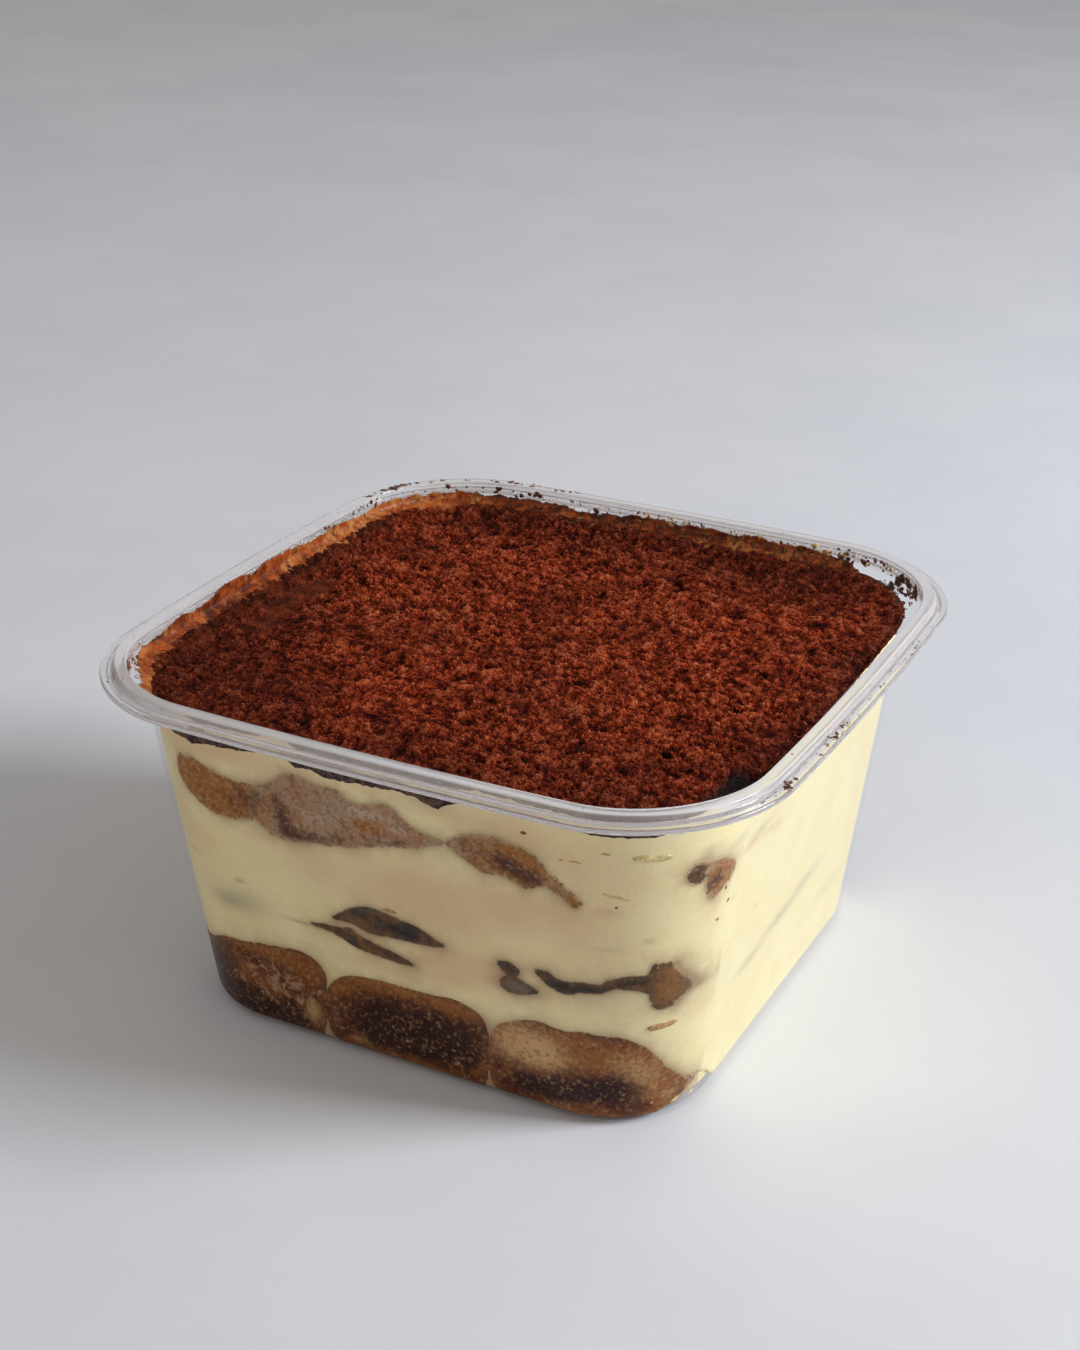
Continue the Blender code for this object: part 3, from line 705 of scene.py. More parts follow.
# Marks on the right wall: (along, up, half width, half height, strength)
TAN_RIGHT = [
    (-25.0, 43.6, 3.0, 0.8, 0.9), (-18.0, 42.6, 3.5, 0.7, 0.6), (-14.0, 41.5, 2.0, 0.5, 0.5),
    (-29.0, 36.5, 0.9, 0.5, 0.8), (-18.1, 29.1, 0.9, 0.45, 0.8), (8.0, 46.0, 9.0, 1.2, 0.2),
    (-36.0, 37.0, 3.0, 5.0, 0.25), (-34.0, 19.5, 4.0, 2.0, 0.35),
]
GREY_RIGHT = [
    (-17.0, 18.3, 5.0, 1.0, 0.45), (-5.0, 19.8, 6.5, 1.2, 0.5), (6.0, 21.0, 6.0, 1.4, 0.45),
    (-22.0, 44.6, 4.5, 0.9, 0.4), (-30.0, 47.0, 4.0, 1.0, 0.3), (20.0, 12.0, 9.0, 1.5, 0.2),
]


def soft_marks(points, front, right):
    """How strongly a table of marks colours each point; the back and left repeat them turned."""
    x, y, z = points[..., 0], points[..., 1], points[..., 2]
    total = np.zeros(x.shape)
    for marks, along, facing in ((front, x, -y), (front, -x, y), (right, y, x), (right, -y, -x)):
        near = smooth_step(facing, 22.0, 38.0)
        for place, up, wide, high, strength in marks:
            total += near * strength * np.exp(-((along - place) / wide) ** 2
                                              - ((z - up) / high) ** 2)
    return total


def soaked(points):
    """How much coffee has bled into the cream, from the nearest sponge at the wall."""
    x, y, z = points[:, 0], points[:, 1], points[:, 2]
    total = np.zeros(len(points))
    spread = (1.0 + 0.45 * rough_noise(points, 2.2, 5)) * (3.0 - 2.0 * smooth_step(z, 0, 6))
    for name, outlines in OUTLINES.items():
        at_right = "far" in SPONGES[name]
        along, facing = (y, x) if at_right else (x, -y)
        for outline in outlines:
            low, high = outline.min(0) - 3, outline.max(0) + 3
            near = np.flatnonzero((facing > 30) & (along > low[0]) & (along < high[0])
                                  & (z > low[1]) & (z < high[1]))
            for part in np.array_split(near, len(near) // 4000 + 1):
                place = np.column_stack([along[part], z[part]])
                out = np.clip(-to_outline(place, outline)[0], 0, None)
                total[part] = 1 - (1 - total[part]) * (1 - np.exp(-out / spread[part]))
    return total


def cream_paint(points):
    """The painted values that tint the cream: stains, and painted shade under the flange and at the
    front wall's left end.
    """
    points = np.asarray(points)
    cloud = rough_noise(points, 11.0, 3)
    tan = soft_marks(points, STAIN_AND_SHADE_MARKS, TAN_RIGHT) * (1 + 0.35 * cloud) + 0.10 * cloud + 0.06
    grey = soft_marks(points, GREY_MARKS, GREY_RIGHT) * (1 + 0.3 * cloud)
    return {"tan": np.clip(tan, 0, 1), "grey": np.clip(grey, 0, 1), "soaked": soaked(points)}


def cream_colour(tree, place):
    """Nodes for the colour of cream with its stains."""
    base = mix(tree, fade(tree, grain(tree, place, 7.0, 4.0), 0.35, 0.7),
               colour(240, 229, 178), colour(238, 222, 168))
    # Tan: coffee stains, and painted shade under the flange and at the left end of the front wall.
    tan = mix(tree, painted(tree, "tan"), base, colour(222, 192, 148))
    grey = mix(tree, painted(tree, "grey"), tan, colour(172, 160, 132))
    soak = math_node(tree, "MULTIPLY", painted(tree, "soaked"), 0.84)
    grey = mix(tree, soak, grey, colour(150, 118, 88))
    speck = fade(tree, grain(tree, place, 0.5, 2.0), 0.30, 0.62, 0.97, 1.02)
    return mix(tree, 1.0, grey, add(tree, "ShaderNodeCombineColor", {0: speck, 1: speck, 2: speck}),
               blend="MULTIPLY")


def make_cream_material():
    material, tree = new_material("mascarpone_cream")
    place = in_millimetres(tree)
    bump = add(tree, "ShaderNodeBump", {"Height": grain(tree, place, 1.2, 3.0), "Strength": 0.2,
                                        "Distance": 0.0002})
    finish(tree, add(tree, "ShaderNodeBsdfPrincipled", {
        "Base Color": cream_colour(tree, place), "Roughness": 0.6, "Normal": bump,
        "Specular IOR Level": 0.05}))
    return material


cream_material = make_cream_material()
print("made", cream_material.name)

# %% [markdown]
# ## The cream
#
# The cream is pressed against the wall, so its outside is the inside of the tub, carried a
# hair's breadth into the plastic: with a gap of air there, it would look like a block behind
# glass. Rings of points go up the wall half a millimetre apart, fine enough to hold the paint.
# In the lower right corner the cream did not reach the wall, so the points move inwards there.

# %% Cream
CREAM_INTO_WALL = 0.05
CREAM_TOP = 54.4
# The hollow in the corner: it starts, stands fully open, begins to close and ends at these turns
HOLLOW = (6.84, 7.02, 7.20, 7.44)
HOLLOW_HEIGHT = 5.2
HOLLOW_DEPTH = 5.5


def hollow_depth(points, turns):
    """How far the cream stands back from the wall in the corner that it did not fill."""
    start, wide, narrow, end = HOLLOW
    open_here = smooth_step(turns, start, wide) * (1 - smooth_step(turns, narrow, end))
    tall = HOLLOW_HEIGHT * open_here * (1 + 0.14 * rough_noise(points, 3.5, 31)) + 1e-6
    return HOLLOW_DEPTH * open_here * np.clip(1 - (points[..., 2] - WALL) / tall, 0, 1) ** 0.8


def make_cream():
    count = 760
    turns = np.arange(count) * 8 / count
    foot = [z for _, z in foot_path(FOOT_RADIUS - WALL, FLOOR_HALF, WALL, steps=5)]
    levels = np.concatenate([foot, np.linspace(FOOT_RADIUS, CREAM_TOP, 104)[1:]])
    rings = [square_points(turns, inner_half(z) + CREAM_INTO_WALL, z) for z in levels]
    rings[0][:, 2] -= CREAM_INTO_WALL
    lowest, highest = rings[0], rings[-1]
    centre = lambda ring, share: np.array((0, 0, ring[0, 2])) + (ring - (0, 0, ring[0, 2])) * share
    rings = ([centre(lowest, s) for s in (0.3, 0.65, 0.9)] + rings
             + [centre(highest, s) - (0, 0, 3.2) for s in (0.985, 0.5)])
    points = np.array(rings)
    wall = np.array([square_points(turns, inner_half(row[0, 2]), row[0, 2]) for row in points])
    wall, reach = (np.linalg.norm(part[..., :2], axis=-1) for part in (wall, points))
    depth = hollow_depth(points, turns)
    shrunk = np.where(depth > 0.01, np.minimum(reach, wall - depth), reach)
    points[..., :2] *= (shrunk / reach)[..., None]
    rows = len(points)
    faces = grid_faces(rows, count, closed=True)
    faces.append(tuple(range(count))[::-1])
    faces.append(tuple(range((rows - 1) * count, rows * count)))
    flat = points.reshape(-1, 3)
    return make_piece("cream_body", flat, faces, cream_material, "cream", ["cream"],
                      **cream_paint(flat))


cream = make_cream()
print("made", cream.name)

# %% [markdown]
# ## A sponge pressed against the wall
#
# Each sponge finger runs from the front wall to the back. What one sees is its end, pressed
# flat on the plastic, with a ragged granular outline. A plain extruded outline would be smooth
# like a biscuit cutter's. Here a fine grid of cells covers the outline and a margin round it,
# and every point keeps its distance to the outline. The material lets the crumb fade into cream
# where that distance, roughened by noise, falls below zero, and the grid dives under the cream
# just outside it, so no edge of the mesh shows.

# %% Sponge shapes
SPONGE_INTO_WALL = 0.13
SPONGE_EDGE = 1.2


def wall_reach(z):
    """Furthest place across the front wall at a height, where it turns into the side wall."""
    half = inner_half(z)
    return half * (1 - bow_amount(z) * (straight_half(z) / half) ** 2) - 0.05


def cover_outline(outlines, step, lowest):
    """Grid cells over outlines grown by the sponge's edge: points, faces, rim loop, distances."""
    everything = np.concatenate(outlines)
    low = everything.min(0) - SPONGE_EDGE - step
    high = everything.max(0) + SPONGE_EDGE + step
    low[1] = max(low[1], lowest)
    across = np.arange(low[0], high[0], step)
    up = np.arange(low[1], high[1], step)
    nodes = np.stack(np.meshgrid(across, up), -1)
    middles = (nodes[:-1, :-1] + step / 2).reshape(-1, 2)
    distance = np.max([to_outline(middles, outline)[0] for outline in outlines], axis=0)
    keep = (distance > -SPONGE_EDGE) & (np.abs(middles[:, 0]) < wall_reach(middles[:, 1]))
    rows, columns = nodes.shape[:2]
    cells = np.arange(rows * columns).reshape(rows, columns)
    quads = np.stack([cells[:-1, :-1], cells[:-1, 1:], cells[1:, 1:], cells[1:, :-1]], -1)
    quads = quads.reshape(-1, 4)[keep]
    used, faces = np.unique(quads, return_inverse=True)
    faces = faces.reshape(-1, 4)
    points = nodes.reshape(-1, 2)[used]
    edges = {(f[i], f[(i + 1) % 4]) for f in faces.tolist() for i in range(4)}
    follow = {a: b for a, b in edges if (b, a) not in edges}
    start = min(follow, key=lambda i: tuple(points[i]))
    loop = [start]
    while follow[loop[-1]] != start:
        loop.append(follow[loop[-1]])
    rim = np.array(loop)
    measured = [to_outline(points[rim], outline) for outline in outlines]
    best = np.argmax([m[0] for m in measured], axis=0)
    gap = np.choose(best, [m[0] for m in measured])
    near = np.choose(best[:, None], [m[1] for m in measured])
    away = points[rim] - near
    pulled = near + away / np.linalg.norm(away, axis=1)[:, None] * SPONGE_EDGE
    reach = wall_reach(points[rim, 1])
    at_side = np.abs(points[rim, 0]) > reach - step * 1.2
    free = (gap < -0.4 * SPONGE_EDGE) & (points[rim, 1] > lowest + 0.01) & ~at_side
    points[rim[free]] = pulled[free]
    points[rim, 1] = np.maximum(points[rim, 1], lowest)
    points[rim[at_side], 0] = np.sign(points[rim[at_side], 0]) * reach[at_side]
    distance = np.max([to_outline(points, outline)[0] for outline in outlines], axis=0)
    return points, faces, rim, distance


def marks_on(across, up, marks):
    """Painted strength from marks (across, up, half width, half height, strength, lean)."""
    total = np.zeros(len(across))
    for place, height, wide, high, strength, lean in marks:
        a = across - place
        total += strength * np.exp(-(a / wide) ** 2 - ((up - height - lean * a) / high) ** 2)
    return np.clip(total, 0, 1.6)


def make_sponge(name, shape, material, slot):
    """A whole sponge: its pressed end at each wall, and the body between them."""
    outlines = OUTLINES[name]
    side = "far" in shape
    step, sections = shape.get("step", 0.4), 12 if side else 64
    points, faces, rim, distance = cover_outline(outlines, step, 3.0 if side else WALL)
    middle = np.concatenate(outlines).mean(0)
    into = -0.35 + (0.35 + SPONGE_INTO_WALL) * smooth_step(distance, -0.95, -0.35)
    drift, swell = np.array(shape["drift"]), np.array(shape["swell"]) - 1
    layers, parts = [], []
    for step_back in np.linspace(0, 1, sections):
        some = np.arange(len(points)) if step_back in (0, 1) else rim
        flat, out = points[some], into[some]
        near = wall_depth(flat[:, 0], flat[:, 1], out)
        far = shape["far"] if side else -near
        share = (56 - (near + (far - near) * step_back)) / 112
        place = middle + drift * share[:, None] + (flat - middle) * (1 + swell * share[:, None])
        if side:
            depth = near + (far - near) * step_back
        else:
            reach = wall_reach(place[:, 1])
            place[:, 0] = np.clip(place[:, 0], -reach, reach)
            depth = wall_depth(place[:, 0], place[:, 1], out) * (1 - 2 * step_back)
            touching = np.abs(flat[:, 0]) > wall_reach(flat[:, 1]) - 0.01
            beside = wall_depth(depth, place[:, 1], out)
            place[touching, 0] = (np.sign(flat[:, 0]) * beside)[touching]
            place[flat[:, 1] < WALL + 0.01, 1] = (WALL - out)[flat[:, 1] < WALL + 0.01]
        layers.append(np.column_stack([place[:, 0], -depth, place[:, 1]]))
        parts.append(some)
    solid = [tuple(face) for face in faces.tolist()]
    back = sum(len(layer) for layer in layers[:-1])
    solid += [tuple(back + i for i in reversed(face)) for face in faces.tolist()]
    count = len(rim)
    rows = [rim] + [len(points) + k * count + np.arange(count) for k in range(sections - 2)]
    rows = [row.tolist() for row in rows + [back + rim]]
    for near, after in zip(rows, rows[1:]):
        for i in range(count):
            j = (i + 1) % count
            solid.append((near[j], near[i], after[i], after[j]))
    body = np.concatenate(layers)
    parts = np.concatenate(parts)
    paint = {key: marks_on(body[:, 0], body[:, 2], marks) for key, marks in shape["paint"].items()}
    if side:
        body = np.column_stack([-body[:, 1], body[:, 0], body[:, 2]])
    return make_piece(name + "_crumb", body, solid, material, slot, [name],
                      inside=distance[parts], **cream_paint(body), **paint)


print("the sponge's edge dives under the cream over", SPONGE_EDGE, "mm")

# %% [markdown]
# ## Sponge finish
#
# Soaked sponge is coffee brown, and every piece has its own mood: a golden crust here, a grey
# crumb there, dark where the coffee pooled. One recipe serves all of them. Noise at three sizes
# mottles the crumb, painted marks turn places dark, golden or pale, and a thin veil of cream
# greys it towards its edge. Only the colours differ from row to row.

# %% Sponge materials
def make_crumb(name, tones, ragged, mottle, veil, grow=0.0, gloss=0.5):
    """A sponge material; tones are its crumb, dark, golden and pale colours."""
    crumb, dark, golden, pale = (colour(*tone) for tone in tones)
    material, tree = new_material(name)
    place = in_millimetres(tree)
    fine = grain(tree, place, 0.75, 3.0, 0.7)
    middle = grain(tree, place, 2.0, 4.0, 0.7)
    broad = grain(tree, place, 5.5, 2.0)
    tone = mix(tree, fade(tree, broad, 0.38, 0.62, 0.0, 0.6), crumb, golden)
    for label, target in (("golden", golden), ("pale", pale), ("dark", dark)):
        amount = math_node(tree, "ADD", painted(tree, label), swing(tree, middle, 1.5))
        tone = mix(tree, fade(tree, amount, 0.05, 1.0, 0.0, 0.95), tone, target)
    pores = fade(tree, plus(tree, fine, middle, 0.5), 0.76, 0.86, 0.0, mottle)
    tone = mix(tree, pores, tone, dark)
    lights = fade(tree, fine, 0.46, 0.34, 0.0, mottle * 0.8)
    tone = mix(tree, lights, tone, pale)
    spots = plus(tree, grain(tree, place, 1.5, 4.0, 0.75, 0.6), painted(tree, "sugar"), 0.10)
    tone = mix(tree, fade(tree, spots, 0.64, 0.70, 0.0, 0.8), tone, colour(172, 132, 102))
    inside = painted(tree, "inside")
    cream_tone = cream_colour(tree, place)
    tone = mix(tree, fade(tree, inside, 0.0, 1.4, veil, 0.0), tone, cream_tone)
    rough = math_node(tree, "ADD", ragged, math_node(tree, "MULTIPLY", painted(tree, "golden"),
                                                     0.25, clamp=True))
    jitter = swing(tree, fine, math_node(tree, "MULTIPLY", rough, 3.4))
    wander = swing(tree, middle, math_node(tree, "MULTIPLY", rough, 2.4))
    edge = math_node(tree, "ADD", inside, math_node(tree, "ADD", jitter, wander))
    edge = math_node(tree, "ADD", edge, grow)
    tone = mix(tree, fade(tree, edge, -0.30, 0.12), cream_tone, tone)
    bump = add(tree, "ShaderNodeBump", {"Height": middle, "Strength": 0.35, "Distance": 0.0003})
    finish(tree, add(tree, "ShaderNodeBsdfPrincipled", {
        "Base Color": tone, "Roughness": gloss, "Normal": bump, "Specular IOR Level": 0.05}))
    return material


bottom_crumb = make_crumb("bottom_sponge", [(88, 42, 22), (40, 11, 9), (146, 88, 38),
                                            (200, 160, 108)], 0.40, 0.40, 0.06, grow=0.5)
middle_crumb = make_crumb("middle_sponge", [(54, 46, 38), (32, 26, 23), (132, 90, 48),
                                            (112, 100, 82)], 0.20, 0.35, 0.04, grow=0.1)
upper_crumb = make_crumb("upper_sponge", [(164, 136, 108), (78, 44, 26), (158, 98, 36),
                                          (192, 168, 144)], 0.65, 0.45, 0.10)
print("made", bottom_crumb.name, middle_crumb.name, upper_crumb.name)

# %% [markdown]
# With the shapes and the finish ready, one loop makes every sponge.

# %% Make the sponges
CRUMBS = {"bottom": bottom_crumb, "middle": middle_crumb, "upper": upper_crumb}
for sponge_name, sponge_shape in SPONGES.items():
    row = sponge_name.split("_")[0]
    make_sponge(sponge_name, sponge_shape, CRUMBS[row], row + "_sponge")

# %% [markdown]
# ## Cocoa powder
#
# Sieved cocoa lies in soft clumps about a millimetre across, with a few deep pits. Its surface
# follows a rule, so Geometry Nodes shape it. First comes a plain sheet that lies level with the
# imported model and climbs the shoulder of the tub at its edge. A painted value says where the
# powder is loose, and where a wet or smeared place is smooth.

# %% The sheet under the powder
COCOA_RINGS = 134
EDGE_ROWS = 9
COCOA_LEVEL = 54.9
COCOA_UNDERSIDE = 51.5


def ramp(value, low, high):
    return np.clip((value - low) / (high - low), 0, 1)


def creep(x, y):
    """How far the powder creeps up the shoulder: 1 at the left and the back, 0 elsewhere."""
    left = ramp(-x, 30, 48) * (1 - ramp(-y, 30, 42))
    return np.maximum(left, ramp(y, 36, 50))


def cocoa_level(points, edge_distance):
    """Height of the powder without its clumps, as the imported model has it."""
    clumps = np.array([noise.noise(Vector((x, y, 0)) / 4.6)
                       + 0.6 * noise.noise(Vector((x, y, 0)) / 4.6 * 2.1 + Vector((9, 4, 2)))
                       for x, y in points[:, :2]])
    rise = np.clip(1 - edge_distance / 6.0, 0, None) ** 2 * 1.2
    return COCOA_LEVEL + 0.55 * clumps + rise * creep(points[:, 0], points[:, 1])


def bridge_rings(inner, k, outer, m):
    """Faces between a ring of 8k points and the next one out, of 8m points."""
    faces = []
    for i in range(8 * k):
        octant, step = divmod(i, k)
        a = outer + (octant * m + step) % (8 * m)
        b = outer + (octant * m + step + 1) % (8 * m)
        faces.append((inner + i, a, b, inner + (i + 1) % (8 * k)))
        if step == k - 1:
            c = outer + (octant * m + step + 2) % (8 * m)
            faces.append((inner + (i + 1) % (8 * k), b, c))
    return faces


# Where the cream stands higher or lower behind the front wall: (across, height of the border)
BORDER = [(-60, 54.2), (-38, 53.6), (-36, 53.2), (-33.5, 52.8), (-30, 53.4), (-27, 53.6),
          (-23, 54.2), (-20, 55.2), (-16.5, 55.2), (-14.5, 53.7), (-12, 53.9), (-9.6, 53.3),
          (-5.5, 53.4), (-2.7, 53.8), (0.5, 53.8), (3.2, 54.0), (5.9, 53.9), (8.2, 53.1),
          (9.7, 52.6), (11.3, 53.6), (13, 54.8), (16, 55.2), (21, 55.2), (24, 54.9), (40, 54.8),
          (48, 55.0), (60, 55.0)]


def powder_sheet():
    """Points, faces and looseness of the sheet."""
    edge_turns = np.arange(8 * COCOA_RINGS) / COCOA_RINGS
    rings = [np.zeros((1, 3))]
    for k in range(1, COCOA_RINGS + 1):
        ring = square_points(np.arange(8 * k) / k, WALL_TOP_HALF - 0.6, WALL_TOP_Z)
        rings.append(ring * (k / COCOA_RINGS))
    sheet = np.concatenate(rings)
    share = np.concatenate([np.full(len(r), i / COCOA_RINGS) for i, r in enumerate(rings)])
    sheet[:, 2] = cocoa_level(sheet, WALL_TOP_HALF * (1 - share))
    last = len(sheet) - 8 * COCOA_RINGS
    edge = sheet[last:]
    top = square_points(edge_turns, WALL_TOP_HALF, WALL_TOP_Z)
    reach = 0.24 + 0.42 * creep(top[:, 0], top[:, 1])
    reach = reach + 0.05 * rough_noise(top, 5.0, 51)
    half, z = shoulder_curve(reach, -0.08)
    shore = square_points(edge_turns, half, z)
    rows = [edge + (shore - edge) * t for t in np.linspace(0, 1, EDGE_ROWS + 1)[1:]]
    border = np.where(top[:, 1] < -20, np.interp(top[:, 0], *zip(*BORDER)) - 1.5, 54.3)
    border = border + np.where(top[:, 1] < -20, 0.3, 0.5) * rough_noise(top, 1.4, 52, 3)
    border = np.minimum(border, z - 0.25)
    for t in (0.33, 0.66, 1.0):
        level = z + (border - z) * t
        rows.append(square_points(edge_turns, inner_half(level) + 0.10, level))
    rows.append(square_points(edge_turns, inner_half(border) - 0.5, border - 0.25))
    rows.append(rows[-1] * (0.97, 0.97, 0.0) + (0, 0, COCOA_UNDERSIDE))
    rows.append(rows[-1] * (0.5, 0.5, 1.0))
    points = np.concatenate([sheet] + rows)
    faces = [(0, 1 + i, 1 + (i + 1) % 8) for i in range(8)]
    starts = np.concatenate([[0], np.cumsum([len(r) for r in rings])])
    for k in range(1, COCOA_RINGS):
        faces += bridge_rings(int(starts[k]), k, int(starts[k + 1]), k + 1)
    count = 8 * COCOA_RINGS
    for row in range(len(rows)):
        for i in range(count):
            j = (i + 1) % count
            a = last + row * count
            faces.append((a + i, a + count + i, a + count + j, a + j))
    faces.append(tuple(range(len(points) - count, len(points)))[::-1])
    loose = np.ones(len(points))
    for row in range(len(rows)):
        start = len(sheet) + row * count
        loose[start:start + count] = np.clip((EDGE_ROWS - 1 - row) / 4, 0, 1)
    return points, faces, loose


# Where the powder lies smooth: middle, half sizes, lean
SMOOTH_SPOTS = [((47.2, -28.5), (3.6, 6.0), 0.0), ((-45.2, -3.5), (3.2, 15.0), -0.05)]


def smooth_spots(points, loose):
    """Sink the wet dip and the smear; new looseness, how much is the dip (wet, and painted dark as
    its shade), and how smeared it is.
    """
    wobble = 0.45 * rough_noise(points, 3.4, 61, 4)
    inside = []
    for (x, y), (wide, long), lean in SMOOTH_SPOTS:
        a = (points[:, 0] - x - lean * (points[:, 1] - y)) / wide
        b = (points[:, 1] - y) / long
        inside.append(smooth_step(1 - np.hypot(a, b) + wobble, -0.05, 0.3))
    points[:, 2] -= np.where(loose > 0, 1.1 * inside[0] + 0.25 * inside[1], 0)
    loose = loose * (1 - 0.97 * inside[0]) * (1 - 0.75 * inside[1])
    margin = smooth_step(-points[:, 0] + 1.5 * wobble, 46.5, 50.5)
    margin = margin * smooth_step(points[:, 2], 54, 55)
    return loose, inside[0], np.maximum(0.75 * inside[1], 0.8 * margin)


sheet_points, sheet_faces, sheet_loose = powder_sheet()
sheet_loose, shaded_wet_dip, smear_patch = smooth_spots(sheet_points, sheet_loose)
print("sheet of", len(sheet_faces), "faces")

# %% [markdown]
# The colour of cocoa is nearly the same all over; what one sees as texture is light on the
# crumbs and darkness between them. The node tree stores how high each point was lifted, and the
# material uses it to paint shade, darker and redder, into the hollows and painted highlights on
# the tops.

# %% Cocoa material
def make_cocoa_material():
    material, tree = new_material("cocoa_powder")
    place = in_millimetres(tree)
    relief = painted(tree, "relief")
    fine = grain(tree, place, 0.35, 2.0, 0.7)
    broad = grain(tree, place, 16.0, 2.0)
    rough = plus(tree, fine, grain(tree, place, 0.8, 2.0, 0.6), 1.2)
    # Painted light: the relief and the fine bump noise paint shade, dark and red, in the hollows
    # and painted highlights on the tops.
    height = plus(tree, swing(tree, rough, 1.15, 1.1), relief, 0.9)
    tone = tone_ramp(tree, fade(tree, height, -1.5, 1.45), [
        (0.10, 28, 1, 0), (0.36, 108, 30, 9), (0.58, 178, 68, 32), (0.90, 226, 126, 84)])
    tone = mix(tree, fade(tree, broad, 0.4, 0.7, 0.0, 0.4), tone, colour(84, 30, 18))
    # Painted shade along the walls, from the shade value.
    tone = mix(tree, painted(tree, "shade"), tone, colour(40, 12, 9))
    # The dip near the front right: glossy as it is wet, and painted near-black as the shade in it.
    tone = mix(tree, painted(tree, "wet"), tone, colour(30, 19, 18))
    behind = mix(tree, fade(tree, grain(tree, place, 1.2, 4.0, 0.7), 0.4, 0.6), colour(116, 82, 68),
                 colour(50, 27, 22))
    tone = mix(tree, painted(tree, "behind"), tone, behind)
    smooth = mix(tree, fade(tree, grain(tree, place, 5.0, 3.0), 0.42, 0.58), colour(128, 56, 28),
                 colour(70, 30, 19))
    tone = mix(tree, painted(tree, "smeared"), tone, smooth)
    gloss = fade(tree, painted(tree, "wet"), 0.0, 1.0, 0.95, 0.28)
    bump = add(tree, "ShaderNodeBump", {"Height": rough, "Strength": 1.0, "Distance": 0.0008})
    finish(tree, add(tree, "ShaderNodeBsdfPrincipled", {
        "Base Color": tone, "Roughness": gloss, "Normal": bump, "Specular IOR Level": 0.12}))
    return material


cocoa_material = make_cocoa_material()
print("made", cocoa_material.name)

# %% [markdown]
# A Geometry Nodes tree has inputs like the knobs on a machine. These helpers build a tree with
# named inputs, set them on a modifier by their identifiers, and turn the result into a mesh.

# %% Geometry Nodes helpers
def new_tree(name, knobs):
    """A geometry tree with a mesh input and float inputs; knobs maps names to default values."""
    tree = bpy.data.node_groups.new(name, "GeometryNodeTree")
    tree.interface.new_socket("Mesh", in_out="INPUT", socket_type="NodeSocketGeometry")
    tree.interface.new_socket("Mesh", in_out="OUTPUT", socket_type="NodeSocketGeometry")
    for label, value in knobs.items():
        kind = "NodeSocketInt" if isinstance(value, int) else "NodeSocketFloat"
        socket = tree.interface.new_socket(label, in_out="INPUT", socket_type=kind)
        socket.default_value = value
    source = tree.nodes.new("NodeGroupInput")
    return tree, {socket.name: socket for socket in source.outputs if socket.name}


def read_value(tree, label):
    """A painted float value, read inside a geometry tree."""
    return add(tree, "GeometryNodeInputNamedAttribute", {"Name": label}, data_type="FLOAT")


def close_tree(tree, mesh, material):
    """End a tree: instances become real, and everything gets its material."""
    mesh = add(tree, "GeometryNodeRealizeInstances", {0: mesh})
    mesh = add(tree, "GeometryNodeSetMaterial", {"Geometry": mesh, "Material": material})
    add(tree, "NodeGroupOutput", {0: mesh})


def run_tree(source, tree, name, knobs):
    """Run a tree on an object with these knob settings, and keep the result as a plain mesh."""
    modifier = source.modifiers.new(tree.name, "NODES")
    modifier.node_group = tree
    for item in tree.interface.items_tree:
        if item.name in knobs:
            modifier[item.identifier] = knobs[item.name]
    bpy.context.view_layer.update()
    result = source.evaluated_get(bpy.context.evaluated_depsgraph_get())
    mesh = bpy.data.meshes.new_from_object(result)
    source.modifiers.remove(modifier)
    piece = bpy.data.objects.new(name, mesh)
    bpy.context.scene.collection.objects.link(piece)
    return piece


def delete(piece):
    bpy.data.objects.remove(piece, do_unlink=True)


# %% [markdown]
# The powder tree adds four things to the height: clumps from a cell pattern, smaller crumbs
# from a finer one, a broad uneven swell from noise, and pits where a sparse cell pattern comes
# close to its centres. It also pushes the points sideways a little, so that clumps overhang and
# catch the light. The height, divided by a typical one, is kept as the relief for the colours.

# %% Powder tree
TYPICAL_RELIEF = 0.48


